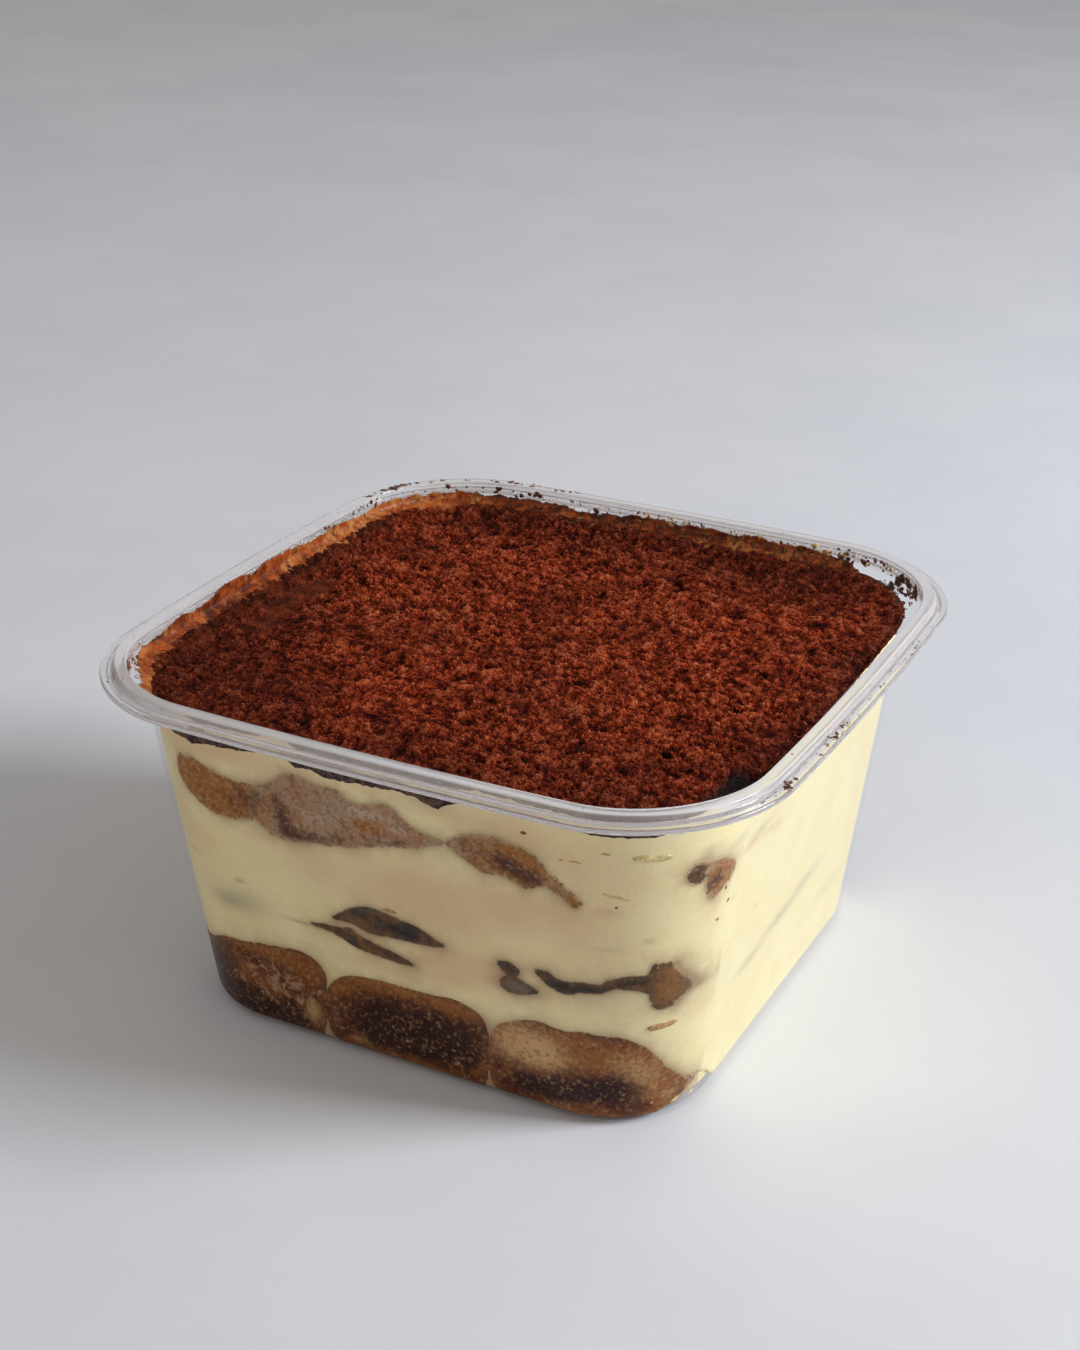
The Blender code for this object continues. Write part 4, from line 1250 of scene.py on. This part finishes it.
def build_powder_tree():
    tree, knob = new_tree("powder_relief", {
        "Clump Size": 1.1, "Clump Height": 0.62, "Crumb Size": 0.55, "Crumb Height": 0.50,
        "Swell": 0.95, "Pit Spacing": 4.8, "Pit Depth": 1.5, "Sideways": 0.3, "Seed": 4.0})
    position = add(tree, "GeometryNodeInputPosition")
    place = add(tree, "ShaderNodeVectorMath", {0: position, 3: 1000.0}, operation="SCALE")

    def cells(size, seed_step, warp):
        """Distance to the nearest of many scattered centres, in a space bent by noise."""
        seed = math_node(tree, "ADD", knob["Seed"], seed_step)
        drift = add(tree, "ShaderNodeTexNoise", {"Vector": place, "Scale": 0.9, "W": seed},
                    output=1, noise_dimensions="4D")
        centred = add(tree, "ShaderNodeVectorMath", {0: drift, 1: (0.5, 0.5, 0.5)},
                      operation="SUBTRACT")
        moved = add(tree, "ShaderNodeVectorMath", {0: centred, 3: warp}, operation="SCALE")
        at = add(tree, "ShaderNodeVectorMath", {0: place, 1: moved}, operation="ADD")
        return add(tree, "ShaderNodeTexVoronoi", {
            "Vector": at, "W": seed, "Scale": math_node(tree, "DIVIDE", 1.0, size)},
            voronoi_dimensions="4D", feature="F1")

    clump = math_node(tree, "SUBTRACT", 0.52, cells(knob["Clump Size"], 0.0, 1.6))
    crumb = math_node(tree, "SUBTRACT", 0.52, cells(knob["Crumb Size"], 3.3, 0.8))
    seed = math_node(tree, "ADD", knob["Seed"], 7.1)
    soft = add(tree, "ShaderNodeTexNoise", {"Vector": place, "Scale": 0.36, "Detail": 6.0,
                                            "Roughness": 0.8, "W": seed}, noise_dimensions="4D")
    soft = swing(tree, soft, 2.6)
    pit = add(tree, "ShaderNodeMapRange", {
        "Value": cells(knob["Pit Spacing"], 5.7, 3.0), "From Min": 0.07, "From Max": 0.20,
        "To Min": 1.0, "To Max": 0.0}, interpolation_type="SMOOTHSTEP")
    height = math_node(tree, "MULTIPLY", clump, knob["Clump Height"])
    height = plus(tree, height, crumb, knob["Crumb Height"])
    height = plus(tree, height, soft, knob["Swell"])
    pit = math_node(tree, "MULTIPLY", pit, knob["Pit Depth"])
    height = math_node(tree, "SUBTRACT", height, pit)
    loose = read_value(tree, "loose")
    height = math_node(tree, "MULTIPLY", height, loose)
    jitter = add(tree, "ShaderNodeTexNoise", {"Vector": place, "Scale": 1.1, "Detail": 2.0},
                 output=1)
    jitter = add(tree, "ShaderNodeVectorMath", {0: jitter, 1: (0.5, 0.5, 0.5)},
                 operation="SUBTRACT")
    sideways = math_node(tree, "MULTIPLY", loose, knob["Sideways"])
    sideways = math_node(tree, "MULTIPLY", sideways, 2.0)
    jitter = add(tree, "ShaderNodeVectorMath", {0: jitter, 3: sideways}, operation="SCALE")
    up = add(tree, "ShaderNodeCombineXYZ", {2: height})
    offset = add(tree, "ShaderNodeVectorMath", {0: jitter, 1: up}, operation="ADD")
    offset = add(tree, "ShaderNodeVectorMath", {0: offset, 3: MM}, operation="SCALE")
    relief = math_node(tree, "DIVIDE", height, TYPICAL_RELIEF)
    mesh = add(tree, "GeometryNodeStoreNamedAttribute", {
        "Geometry": knob["Mesh"], "Name": "relief", "Value": relief},
        data_type="FLOAT", domain="POINT")
    mesh = add(tree, "GeometryNodeSetPosition", {"Geometry": mesh, "Offset": offset})
    close_tree(tree, mesh, cocoa_material)
    return tree


def edge_shade(points):
    """Painted shade on the powder along the walls, where the wall and rim shade it; at the left the
    powder is also moist and darker.
    """
    radius = np.maximum(np.abs(points[:, 0]), np.abs(points[:, 1]))
    ragged = 2.5 * rough_noise(points, 7.0, 71)
    broad = 6 * rough_noise(points, 20.0, 72)
    right = smooth_step(points[:, 0] + ragged, 38, 49) * 0.5
    front = smooth_step(-points[:, 1] + broad, 22, 50) * 0.50
    left = smooth_step(-points[:, 0] - 0.5 * points[:, 1] + broad, 20, 55) * 0.55
    back = smooth_step(points[:, 1] + broad, 24, 48) * 0.42
    inner = np.maximum(np.maximum(right, front), np.maximum(left, back))
    return np.clip(inner + 0.2 * smooth_step(radius + ragged, 46, 51), 0, 1)


at_plastic = smooth_step(55.6 - sheet_points[:, 2], 0, 0.5) * (sheet_loose == 0)
powder_source = make_piece("powder_sheet", sheet_points, sheet_faces, cocoa_material,
                           loose=sheet_loose, wet=shaded_wet_dip, smeared=smear_patch,
                           behind=at_plastic, shade=edge_shade(sheet_points))
powder_tree = build_powder_tree()
powder = run_tree(powder_source, powder_tree, "cocoa_layer", {"Seed": 4.0})
hang(powder, ["cocoa"])
delete(powder_source)
print("made", powder.name)

# %% [markdown]
# The sheet gives the clumps, but real powder ends in single grains that stand out against the
# light. A second tree scatters small rough grains over the loose parts: points on the faces, a
# twenty-sided ball on each, turned and stretched at random, then made real. Each run has its own
# seed, so that no piece grows too large.

# %% Loose grains
def build_grain_tree():
    tree, knob = new_tree("loose_grains", {"Grains per mm2": 1.0, "Smallest": 0.10,
                                           "Largest": 0.24, "Seed": 1})
    density = math_node(tree, "MULTIPLY", read_value(tree, "loose"),
                        math_node(tree, "MULTIPLY", knob["Grains per mm2"], 1e6))
    spread = add(tree, "GeometryNodeDistributePointsOnFaces", {
        "Mesh": knob["Mesh"], "Density": density, "Seed": knob["Seed"]})
    ball = add(tree, "GeometryNodeMeshIcoSphere", {"Radius": MM, "Subdivisions": 1})
    turn = add(tree, "FunctionNodeRandomValue", {1: (6.28, 6.28, 6.28), "Seed": knob["Seed"]},
               data_type="FLOAT_VECTOR")
    low = add(tree, "ShaderNodeCombineXYZ", {i: knob["Smallest"] for i in range(3)})
    high = add(tree, "ShaderNodeCombineXYZ", {i: knob["Largest"] for i in range(3)})
    seed = math_node(tree, "ADD", knob["Seed"], 7)
    size = add(tree, "FunctionNodeRandomValue", {0: low, 1: high, "Seed": seed},
               data_type="FLOAT_VECTOR")
    grains = add(tree, "GeometryNodeInstanceOnPoints", {
        "Points": spread, "Instance": ball, "Rotation": turn, "Scale": size})
    # A grain takes the relief of its place, so it gets the same painted shade or painted highlight,
    # plus a random tone.
    tone = add(tree, "FunctionNodeRandomValue", {2: -0.25, 3: 0.55, "Seed": knob["Seed"]}, output=1,
               data_type="FLOAT")
    tone = math_node(tree, "ADD", tone, read_value(tree, "relief"))
    grains = add(tree, "GeometryNodeStoreNamedAttribute", {
        "Geometry": grains, "Name": "relief", "Value": tone}, data_type="FLOAT", domain="INSTANCE")
    close_tree(tree, grains, cocoa_material)
    return tree


grain_tree = build_grain_tree()
for grain_seed in (1, 2, 3, 4):
    hang(run_tree(powder, grain_tree, f"cocoa_grains_{grain_seed}",
                  {"Grains per mm2": 0.78, "Seed": grain_seed}))

# %% [markdown]
# ## Smears on the neck
#
# Wet cocoa and cream stick to the neck of the tub, above the powder, on the left and at the back.
# A smear is a thin lumpy film. Its top edge rises and falls along the wall as the table says, and
# the material breaks the edge up into a ragged fringe.

# %% Smears
# (turn, height of its top, golden, dark); golden is partly painted light shining through the film
SMEAR = [(5.40, 55.2, 0.2, 0.2), (5.25, 55.8, 0.4, 0.0), (5.05, 56.6, 0.5, 0.0),
         (4.90, 56.4, 0.5, 0.0), (4.78, 56.7, 0.4, 0.1), (4.62, 58.0, 0.3, 0.3),
         (4.50, 58.7, 0.1, 0.4), (4.20, 59.1, 0.0, 0.6), (4.00, 58.8, 0.2, 0.4),
         (3.60, 58.6, 0.8, 0.0), (3.35, 57.6, 1.0, 0.0), (3.20, 58.3, 1.0, 0.0),
         (3.00, 58.0, 0.8, 0.2), (2.70, 57.6, 0.1, 0.9), (2.30, 57.5, 0.3, 0.9),
         (2.00, 57.8, 0.5, 0.8), (1.60, 58.4, 0.6, 0.8), (1.40, 58.0, 0.5, 0.9),
         (1.25, 56.7, 0.4, 1.1), (1.10, 55.9, 0.2, 1.2), (0.95, 55.7, 0.2, 1.2),
         (0.80, 55.4, 0.2, 1.2)][::-1]


def make_smear():
    steps, count = 13, 1500
    turns = np.linspace(SMEAR[0][0], SMEAR[-1][0], count)
    top, golden, dark = (np.interp(turns, [row[0] for row in SMEAR], [row[i] for row in SMEAR])
                         for i in (1, 2, 3))
    spine = square_points(turns, NECK_HALF, 58.0)
    top = np.clip(top + 0.7 * rough_noise(spine, 4.5, 81, 5), 55.2, 59.7)
    low = np.minimum(55.0, top - 0.3)
    share = np.linspace(0, 1, steps)
    z = low[:, None] + (top - low)[:, None] * share
    flat = np.repeat(turns[:, None], steps, 1)
    face = square_points(flat, inner_half(z), z)
    lumps = 0.22 + 0.16 * rough_noise(face, 2.0, 82) + 0.05 * rough_noise(face, 0.7, 83)
    thick = np.clip(lumps, 0.06, None) * np.sqrt(np.clip(1 - share, 0, 1) + 0.04)
    inner = square_points(flat, inner_half(z) - thick, z)
    outer = square_points(flat, inner_half(z) + 0.12, z)
    loops = np.concatenate([inner, outer[:, ::-1]], axis=1)
    faces = grid_faces(count, 2 * steps, closed=True)
    faces.append(tuple(range(2 * steps))[::-1])
    faces.append(tuple(range((count - 1) * 2 * steps, count * 2 * steps)))
    spread = lambda value: np.repeat(value[:, None], 2 * steps, 1).ravel()
    up = np.concatenate([z, z[:, ::-1]], axis=1)
    return make_piece("neck_smear", loops.reshape(-1, 3), faces, make_smear_material(), "cocoa",
                      edge=(spread(top) - up.ravel()), golden=spread(golden), dark=spread(dark))


def make_smear_material():
    material, tree = new_material("cocoa_smear")
    place = in_millimetres(tree)
    fine, middle = grain(tree, place, 0.6, 3.0, 0.7), grain(tree, place, 2.6, 4.0, 0.65)
    # Warm orange and golden tones: the cocoa's own colour, made brighter in part as painted light
    # that the thin film lets through.
    warmth_and_backlight = plus(tree, middle, painted(tree, "golden"), 0.12)
    tone = mix(tree, fade(tree, warmth_and_backlight, 0.35, 0.72), colour(98, 37, 15), colour(176, 82, 32))
    for label, target, size in (("golden", colour(190, 128, 68), 2.4),
                                ("dark", colour(54, 21, 12), 1.6)):
        patch = plus(tree, grain(tree, place, size, 4.0, 0.7, 0.5), painted(tree, label), 0.16)
        tone = mix(tree, fade(tree, patch, 0.54, 0.76, 0.0, 0.9), tone, target)
    tone = mix(tree, fade(tree, fine, 0.48, 0.30, 0.0, 0.7), tone, colour(60, 24, 14))
    bump = add(tree, "ShaderNodeBump", {"Height": middle, "Strength": 0.7, "Distance": 0.0005})
    wet = add(tree, "ShaderNodeBsdfPrincipled", {"Base Color": tone, "Roughness": 0.36,
                                                 "Normal": bump, "Specular IOR Level": 0.18})
    ragged = swing(tree, grain(tree, place, 1.1, 4.0, 0.75), 2.2)
    fringe = math_node(tree, "ADD", painted(tree, "edge"), ragged)
    clear = add(tree, "ShaderNodeBsdfTransparent")
    finish(tree, add(tree, "ShaderNodeMixShader", {0: fade(tree, fringe, 0.0, 0.25), 1: clear,
                                                   2: wet}))
    return material


make_smear()

# %% [markdown]
# ## Specks and flecks
#
# Crumbs of cocoa lie on the rim, crusts of cream cling to the neck, and small flecks of coffee
# and yolk show in the cream. Each is a flat lumpy ball laid on a surface. One function makes all
# of them into a single mesh. A cluster is a row in a table, and its balls are strewn by a fixed
# random seed.

# %% Specks
GOLDEN_RATIO = (1 + 5 ** 0.5) / 2
BALL = np.array([(a, b * GOLDEN_RATIO, 0) for a in (-1, 1) for b in (-1, 1)], float)
BALL = np.concatenate([np.roll(BALL, turn, axis=1) for turn in range(3)])
BALL /= math.hypot(1, GOLDEN_RATIO)


def ball_faces():
    """The 20 faces between the 12 corners: every three that are close together."""
    near = np.linalg.norm(BALL[:, None] - BALL, axis=-1) < 1.2
    faces = []
    for i, j, k in np.argwhere(near[:, :, None] & near[:, None] & near[None]):
        if i < j < k:
            out = np.dot(np.cross(BALL[j] - BALL[i], BALL[k] - BALL[i]), BALL[i]) > 0
            faces.append((i, j, k) if out else (i, k, j))
    return np.array(faces)


def split_ball(points, faces):
    """Cut every face into four and push the new points out to the ball."""
    middles = {}
    points = list(points)
    finer = []
    for a, b, c in faces:
        ring = []
        for i, j in ((a, b), (b, c), (c, a)):
            key = (min(i, j), max(i, j))
            if key not in middles:
                middle = points[i] + points[j]
                middles[key] = len(points)
                points.append(middle / np.linalg.norm(middle))
            ring.append(middles[key])
        finer += [(a, ring[0], ring[2]), (ring[0], b, ring[1]), (ring[2], ring[1], c), tuple(ring)]
    return np.array(points), np.array(finer)


def surface_frame(turn, half, z):
    """A place on the tub with its directions along the wall, upwards along it and outwards."""
    place = square_points(turn, half, z)
    along = square_points(turn + 0.01, half, z) - place
    along /= np.linalg.norm(along)
    return place, along, np.cross(along, (0, 0, 1.0))


def strew(rows, ball, faces, seed):
    """Points, faces and tones of balls at (turn, half, z, wide, high, thick, lean, tone, lying)."""
    rng = np.random.default_rng(seed)
    points, solid, tones = [], [], []
    for turn, half, z, wide, high, thick, lean, tone, lying in rows:
        place, along, out = surface_frame(turn, half, z)
        up = out if lying else np.array((0, 0, 1.0))
        out = np.array((0, 0, 1.0)) if lying else out
        c, s = math.cos(lean), math.sin(lean)
        along, up = along * c + up * s, up * c - along * s
        rough = ball * (1 + 0.22 * rng.uniform(-1, 1, (len(ball), 1)))
        solid.append(faces + sum(len(part) for part in points))
        points.append(place + rough[:, :1] * wide * along + rough[:, 1:2] * high * up
                      + rough[:, 2:] * thick * out)
        tones.append(np.full(len(ball), tone))
    solid = np.concatenate(solid)
    if np.dot(np.cross(along, up), out) < 0:
        solid = solid[:, ::-1]
    box = np.array((TUB_HALF, TUB_HALF, TUB_HEIGHT))
    points = np.clip(np.concatenate(points), -box * (1, 1, 0), box)
    return points, solid.tolist(), np.concatenate(tones)


def cluster(rng, turns, half, heights, count, size, tone, lying):
    """Rows of specks spread over a stretch of the tub."""
    rows = []
    for _ in range(count):
        z = rng.uniform(*heights)
        wide = size * rng.lognormal(0, 0.45)
        across = rng.normal(0, 0.35) if lying else 0.0
        at = (half + across) if lying else float(inner_half(z)) + 0.03
        rows.append((rng.uniform(*turns), at, z, wide, wide * rng.uniform(0.4, 0.9),
                     wide * rng.uniform(0.25, 0.5), rng.uniform(0, 3.1),
                     float(np.clip(rng.normal(tone, 0.12), 0, 1)), lying))
    return rows


# The flat places of the rim: half width of the middle, and the heights to lie at
LEDGE = (54.3, (LEDGE_TOP, LEDGE_TOP))
STEP = (56.5, (STEP_TOP, STEP_TOP))
# (turns, half width, heights, count, size, tone, lying flat)
CLUSTERS = [
    ((4.72, 5.05), NECK_HALF, (56.6, 58.6), 70, 0.24, 0.30, False),
    ((4.85, 4.98), NECK_HALF, (56.9, 58.3), 30, 0.40, 0.25, False),
    ((1.00, 2.30), NECK_HALF, (56.8, 58.9), 110, 0.30, 0.50, False),
    ((0.95, 2.60), NECK_HALF, (56.6, 58.8), 80, 0.30, 0.30, False),
    ((0.90, 1.08), NECK_HALF, (56.0, 58.3), 60, 0.50, 0.20, False),
    ((1.10, 1.35), NECK_HALF, (57.2, 59.3), 50, 0.22, 0.14, False),
    ((2.60, 3.60), NECK_HALF, (57.0, 59.2), 60, 0.30, 0.20, False),
    ((3.05, 3.30), *LEDGE, 26, 0.34, 0.25, True),
    ((2.40, 3.00), *LEDGE, 34, 0.34, 0.30, True),
    ((7.55, 7.80), *STEP, 46, 0.20, 0.30, True),
    ((7.32, 7.40), *STEP, 20, 0.26, 0.25, True),
    ((7.05, 7.30), *STEP, 14, 0.16, 0.25, True),
    ((7.80, 8.60), *STEP, 40, 0.13, 0.20, True),
    ((0.00, 8.00), *LEDGE, 70, 0.09, 0.20, True),
    ((4.00, 6.50), *STEP, 60, 0.09, 0.25, True),
]
# Flecks at the wall: (turn, z, half width, half height, lean, tone)
FLECKS = [
    (5.99, 30.3, 1.2, 0.40, 0.1, 0.50), (6.52, 50.8, 0.5, 0.28, 0.0, 0.25),
    (6.70, 47.9, 1.0, 0.20, 0.1, 0.58), (6.65, 47.7, 0.3, 0.18, 0.0, 0.50),
    (6.80, 50.2, 0.7, 0.13, 0.0, 0.45), (6.84, 42.9, 1.9, 0.25, -0.2, 0.72),
    (6.84, 41.1, 0.2, 0.22, 0.0, 0.05), (6.95, 49.75, 2.8, 0.62, 0.0, 0.80),
    (7.03, 18.7, 2.3, 0.60, 0.1, 0.55), (7.26, 42.0, 0.2, 0.9, 0.2, 0.08),
    (7.25, 40.2, 0.3, 0.35, 0.0, 0.15), (7.28, 37.3, 0.5, 0.3, 0.3, 0.35),
    (7.22, 35.1, 0.4, 0.25, 0.0, 0.35), (7.12, 3.0, 0.8, 0.35, 0.5, 0.85),
    (7.06, 2.2, 0.7, 0.3, 0.4, 0.6), (7.20, 2.6, 0.6, 0.3, 0.2, 0.9),
    (7.02, 3.8, 0.6, 0.4, 0.5, 0.9),
]


def make_speck_material():
    material, tree = new_material("crumbs_and_flecks")
    place = in_millimetres(tree)
    tone = tone_ramp(tree, painted(tree, "tone"), [
        (0.0, 38, 14, 9), (0.3, 110, 56, 32), (0.55, 200, 152, 92), (0.8, 224, 202, 140),
        (1.0, 238, 224, 178)])
    mottle = fade(tree, grain(tree, place, 0.5, 3.0), 0.35, 0.65, 0.72, 1.15)
    tone = mix(tree, 1.0, tone, add(tree, "ShaderNodeCombineColor", {i: mottle for i in range(3)}),
               blend="MULTIPLY")
    finish(tree, add(tree, "ShaderNodeBsdfPrincipled", {"Base Color": tone, "Roughness": 0.5}))
    return material


speck_material = make_speck_material()
speck_random = np.random.default_rng(12)
speck_rows = [row for shape in CLUSTERS for row in cluster(speck_random, *shape)]
speck_points, speck_faces, speck_tones = strew(speck_rows, BALL, ball_faces(), 13)
make_piece("rim_crumbs", speck_points, speck_faces, speck_material, "cocoa", tone=speck_tones)
fine_ball, fine_faces = split_ball(*split_ball(BALL, ball_faces()))
fleck_rows = [(turn, float(inner_half(z)) + 0.02, z, wide, high, 0.10, lean, tone, False)
              for turn, z, wide, high, lean, tone in FLECKS]
fleck_points, fleck_faces, fleck_tones = strew(fleck_rows, fine_ball, fine_faces, 14)
make_piece("wall_flecks", fleck_points, fleck_faces, speck_material, "cream", tone=fleck_tones)

# %% [markdown]
# ## Floor, light and world
#
# The photograph is lit by a window: soft, cool light from the right and above, and a warmer,
# dimmer room on the other side. One large area lamp stands in for the window. The world gives
# the room's even light.

# %% Studio
def make_floor():
    material, tree = new_material("pale_floor")
    place = in_millimetres(tree)
    tone = mix(tree, fade(tree, grain(tree, place, 90.0, 4.0), 0.3, 0.7),
               colour(222, 224, 233), colour(228, 230, 238))
    finish(tree, add(tree, "ShaderNodeBsdfPrincipled", {"Base Color": tone, "Roughness": 0.8,
                                                        "Specular IOR Level": 0.2}))
    turns = np.linspace(0, 2 * math.pi, 96, endpoint=False)
    points = np.stack([2500 * np.cos(turns), 2500 * np.sin(turns), np.full(96, -0.1)], -1)
    floor = make_piece("floor", points, [tuple(range(96))], material)


def make_lamp(name, place, size, energy, tone):
    """A soft lamp at a place, turned to the tub."""
    data = bpy.data.lights.new(name, "AREA")
    data.shape, data.size, data.size_y = "RECTANGLE", size[0], size[1]
    data.energy, data.color = energy, tone
    lamp = bpy.data.objects.new(name, data)
    place = Vector(place)
    lamp.location = place
    lamp.rotation_euler = (place - Vector((0, 0, 0.04))).to_track_quat("Z", "Y").to_euler()
    bpy.context.scene.collection.objects.link(lamp)


def make_world():
    world = bpy.data.worlds.new("room")
    world.use_nodes = True
    background = world.node_tree.nodes["Background"]
    background.inputs["Color"].default_value = (1.0, 0.96, 0.90, 1)
    background.inputs["Strength"].default_value = 0.34
    bpy.context.scene.world = world
    bpy.context.scene.view_settings.view_transform = "Standard"


make_floor()
make_lamp("window", (0.93, 0.34, 0.58), (0.42, 0.42), 12.7, (0.93, 0.97, 1.0))
make_lamp("room", (-0.55, -1.35, 0.45), (1.1, 0.9), 2.6, (1.0, 0.86, 0.70))
make_world()
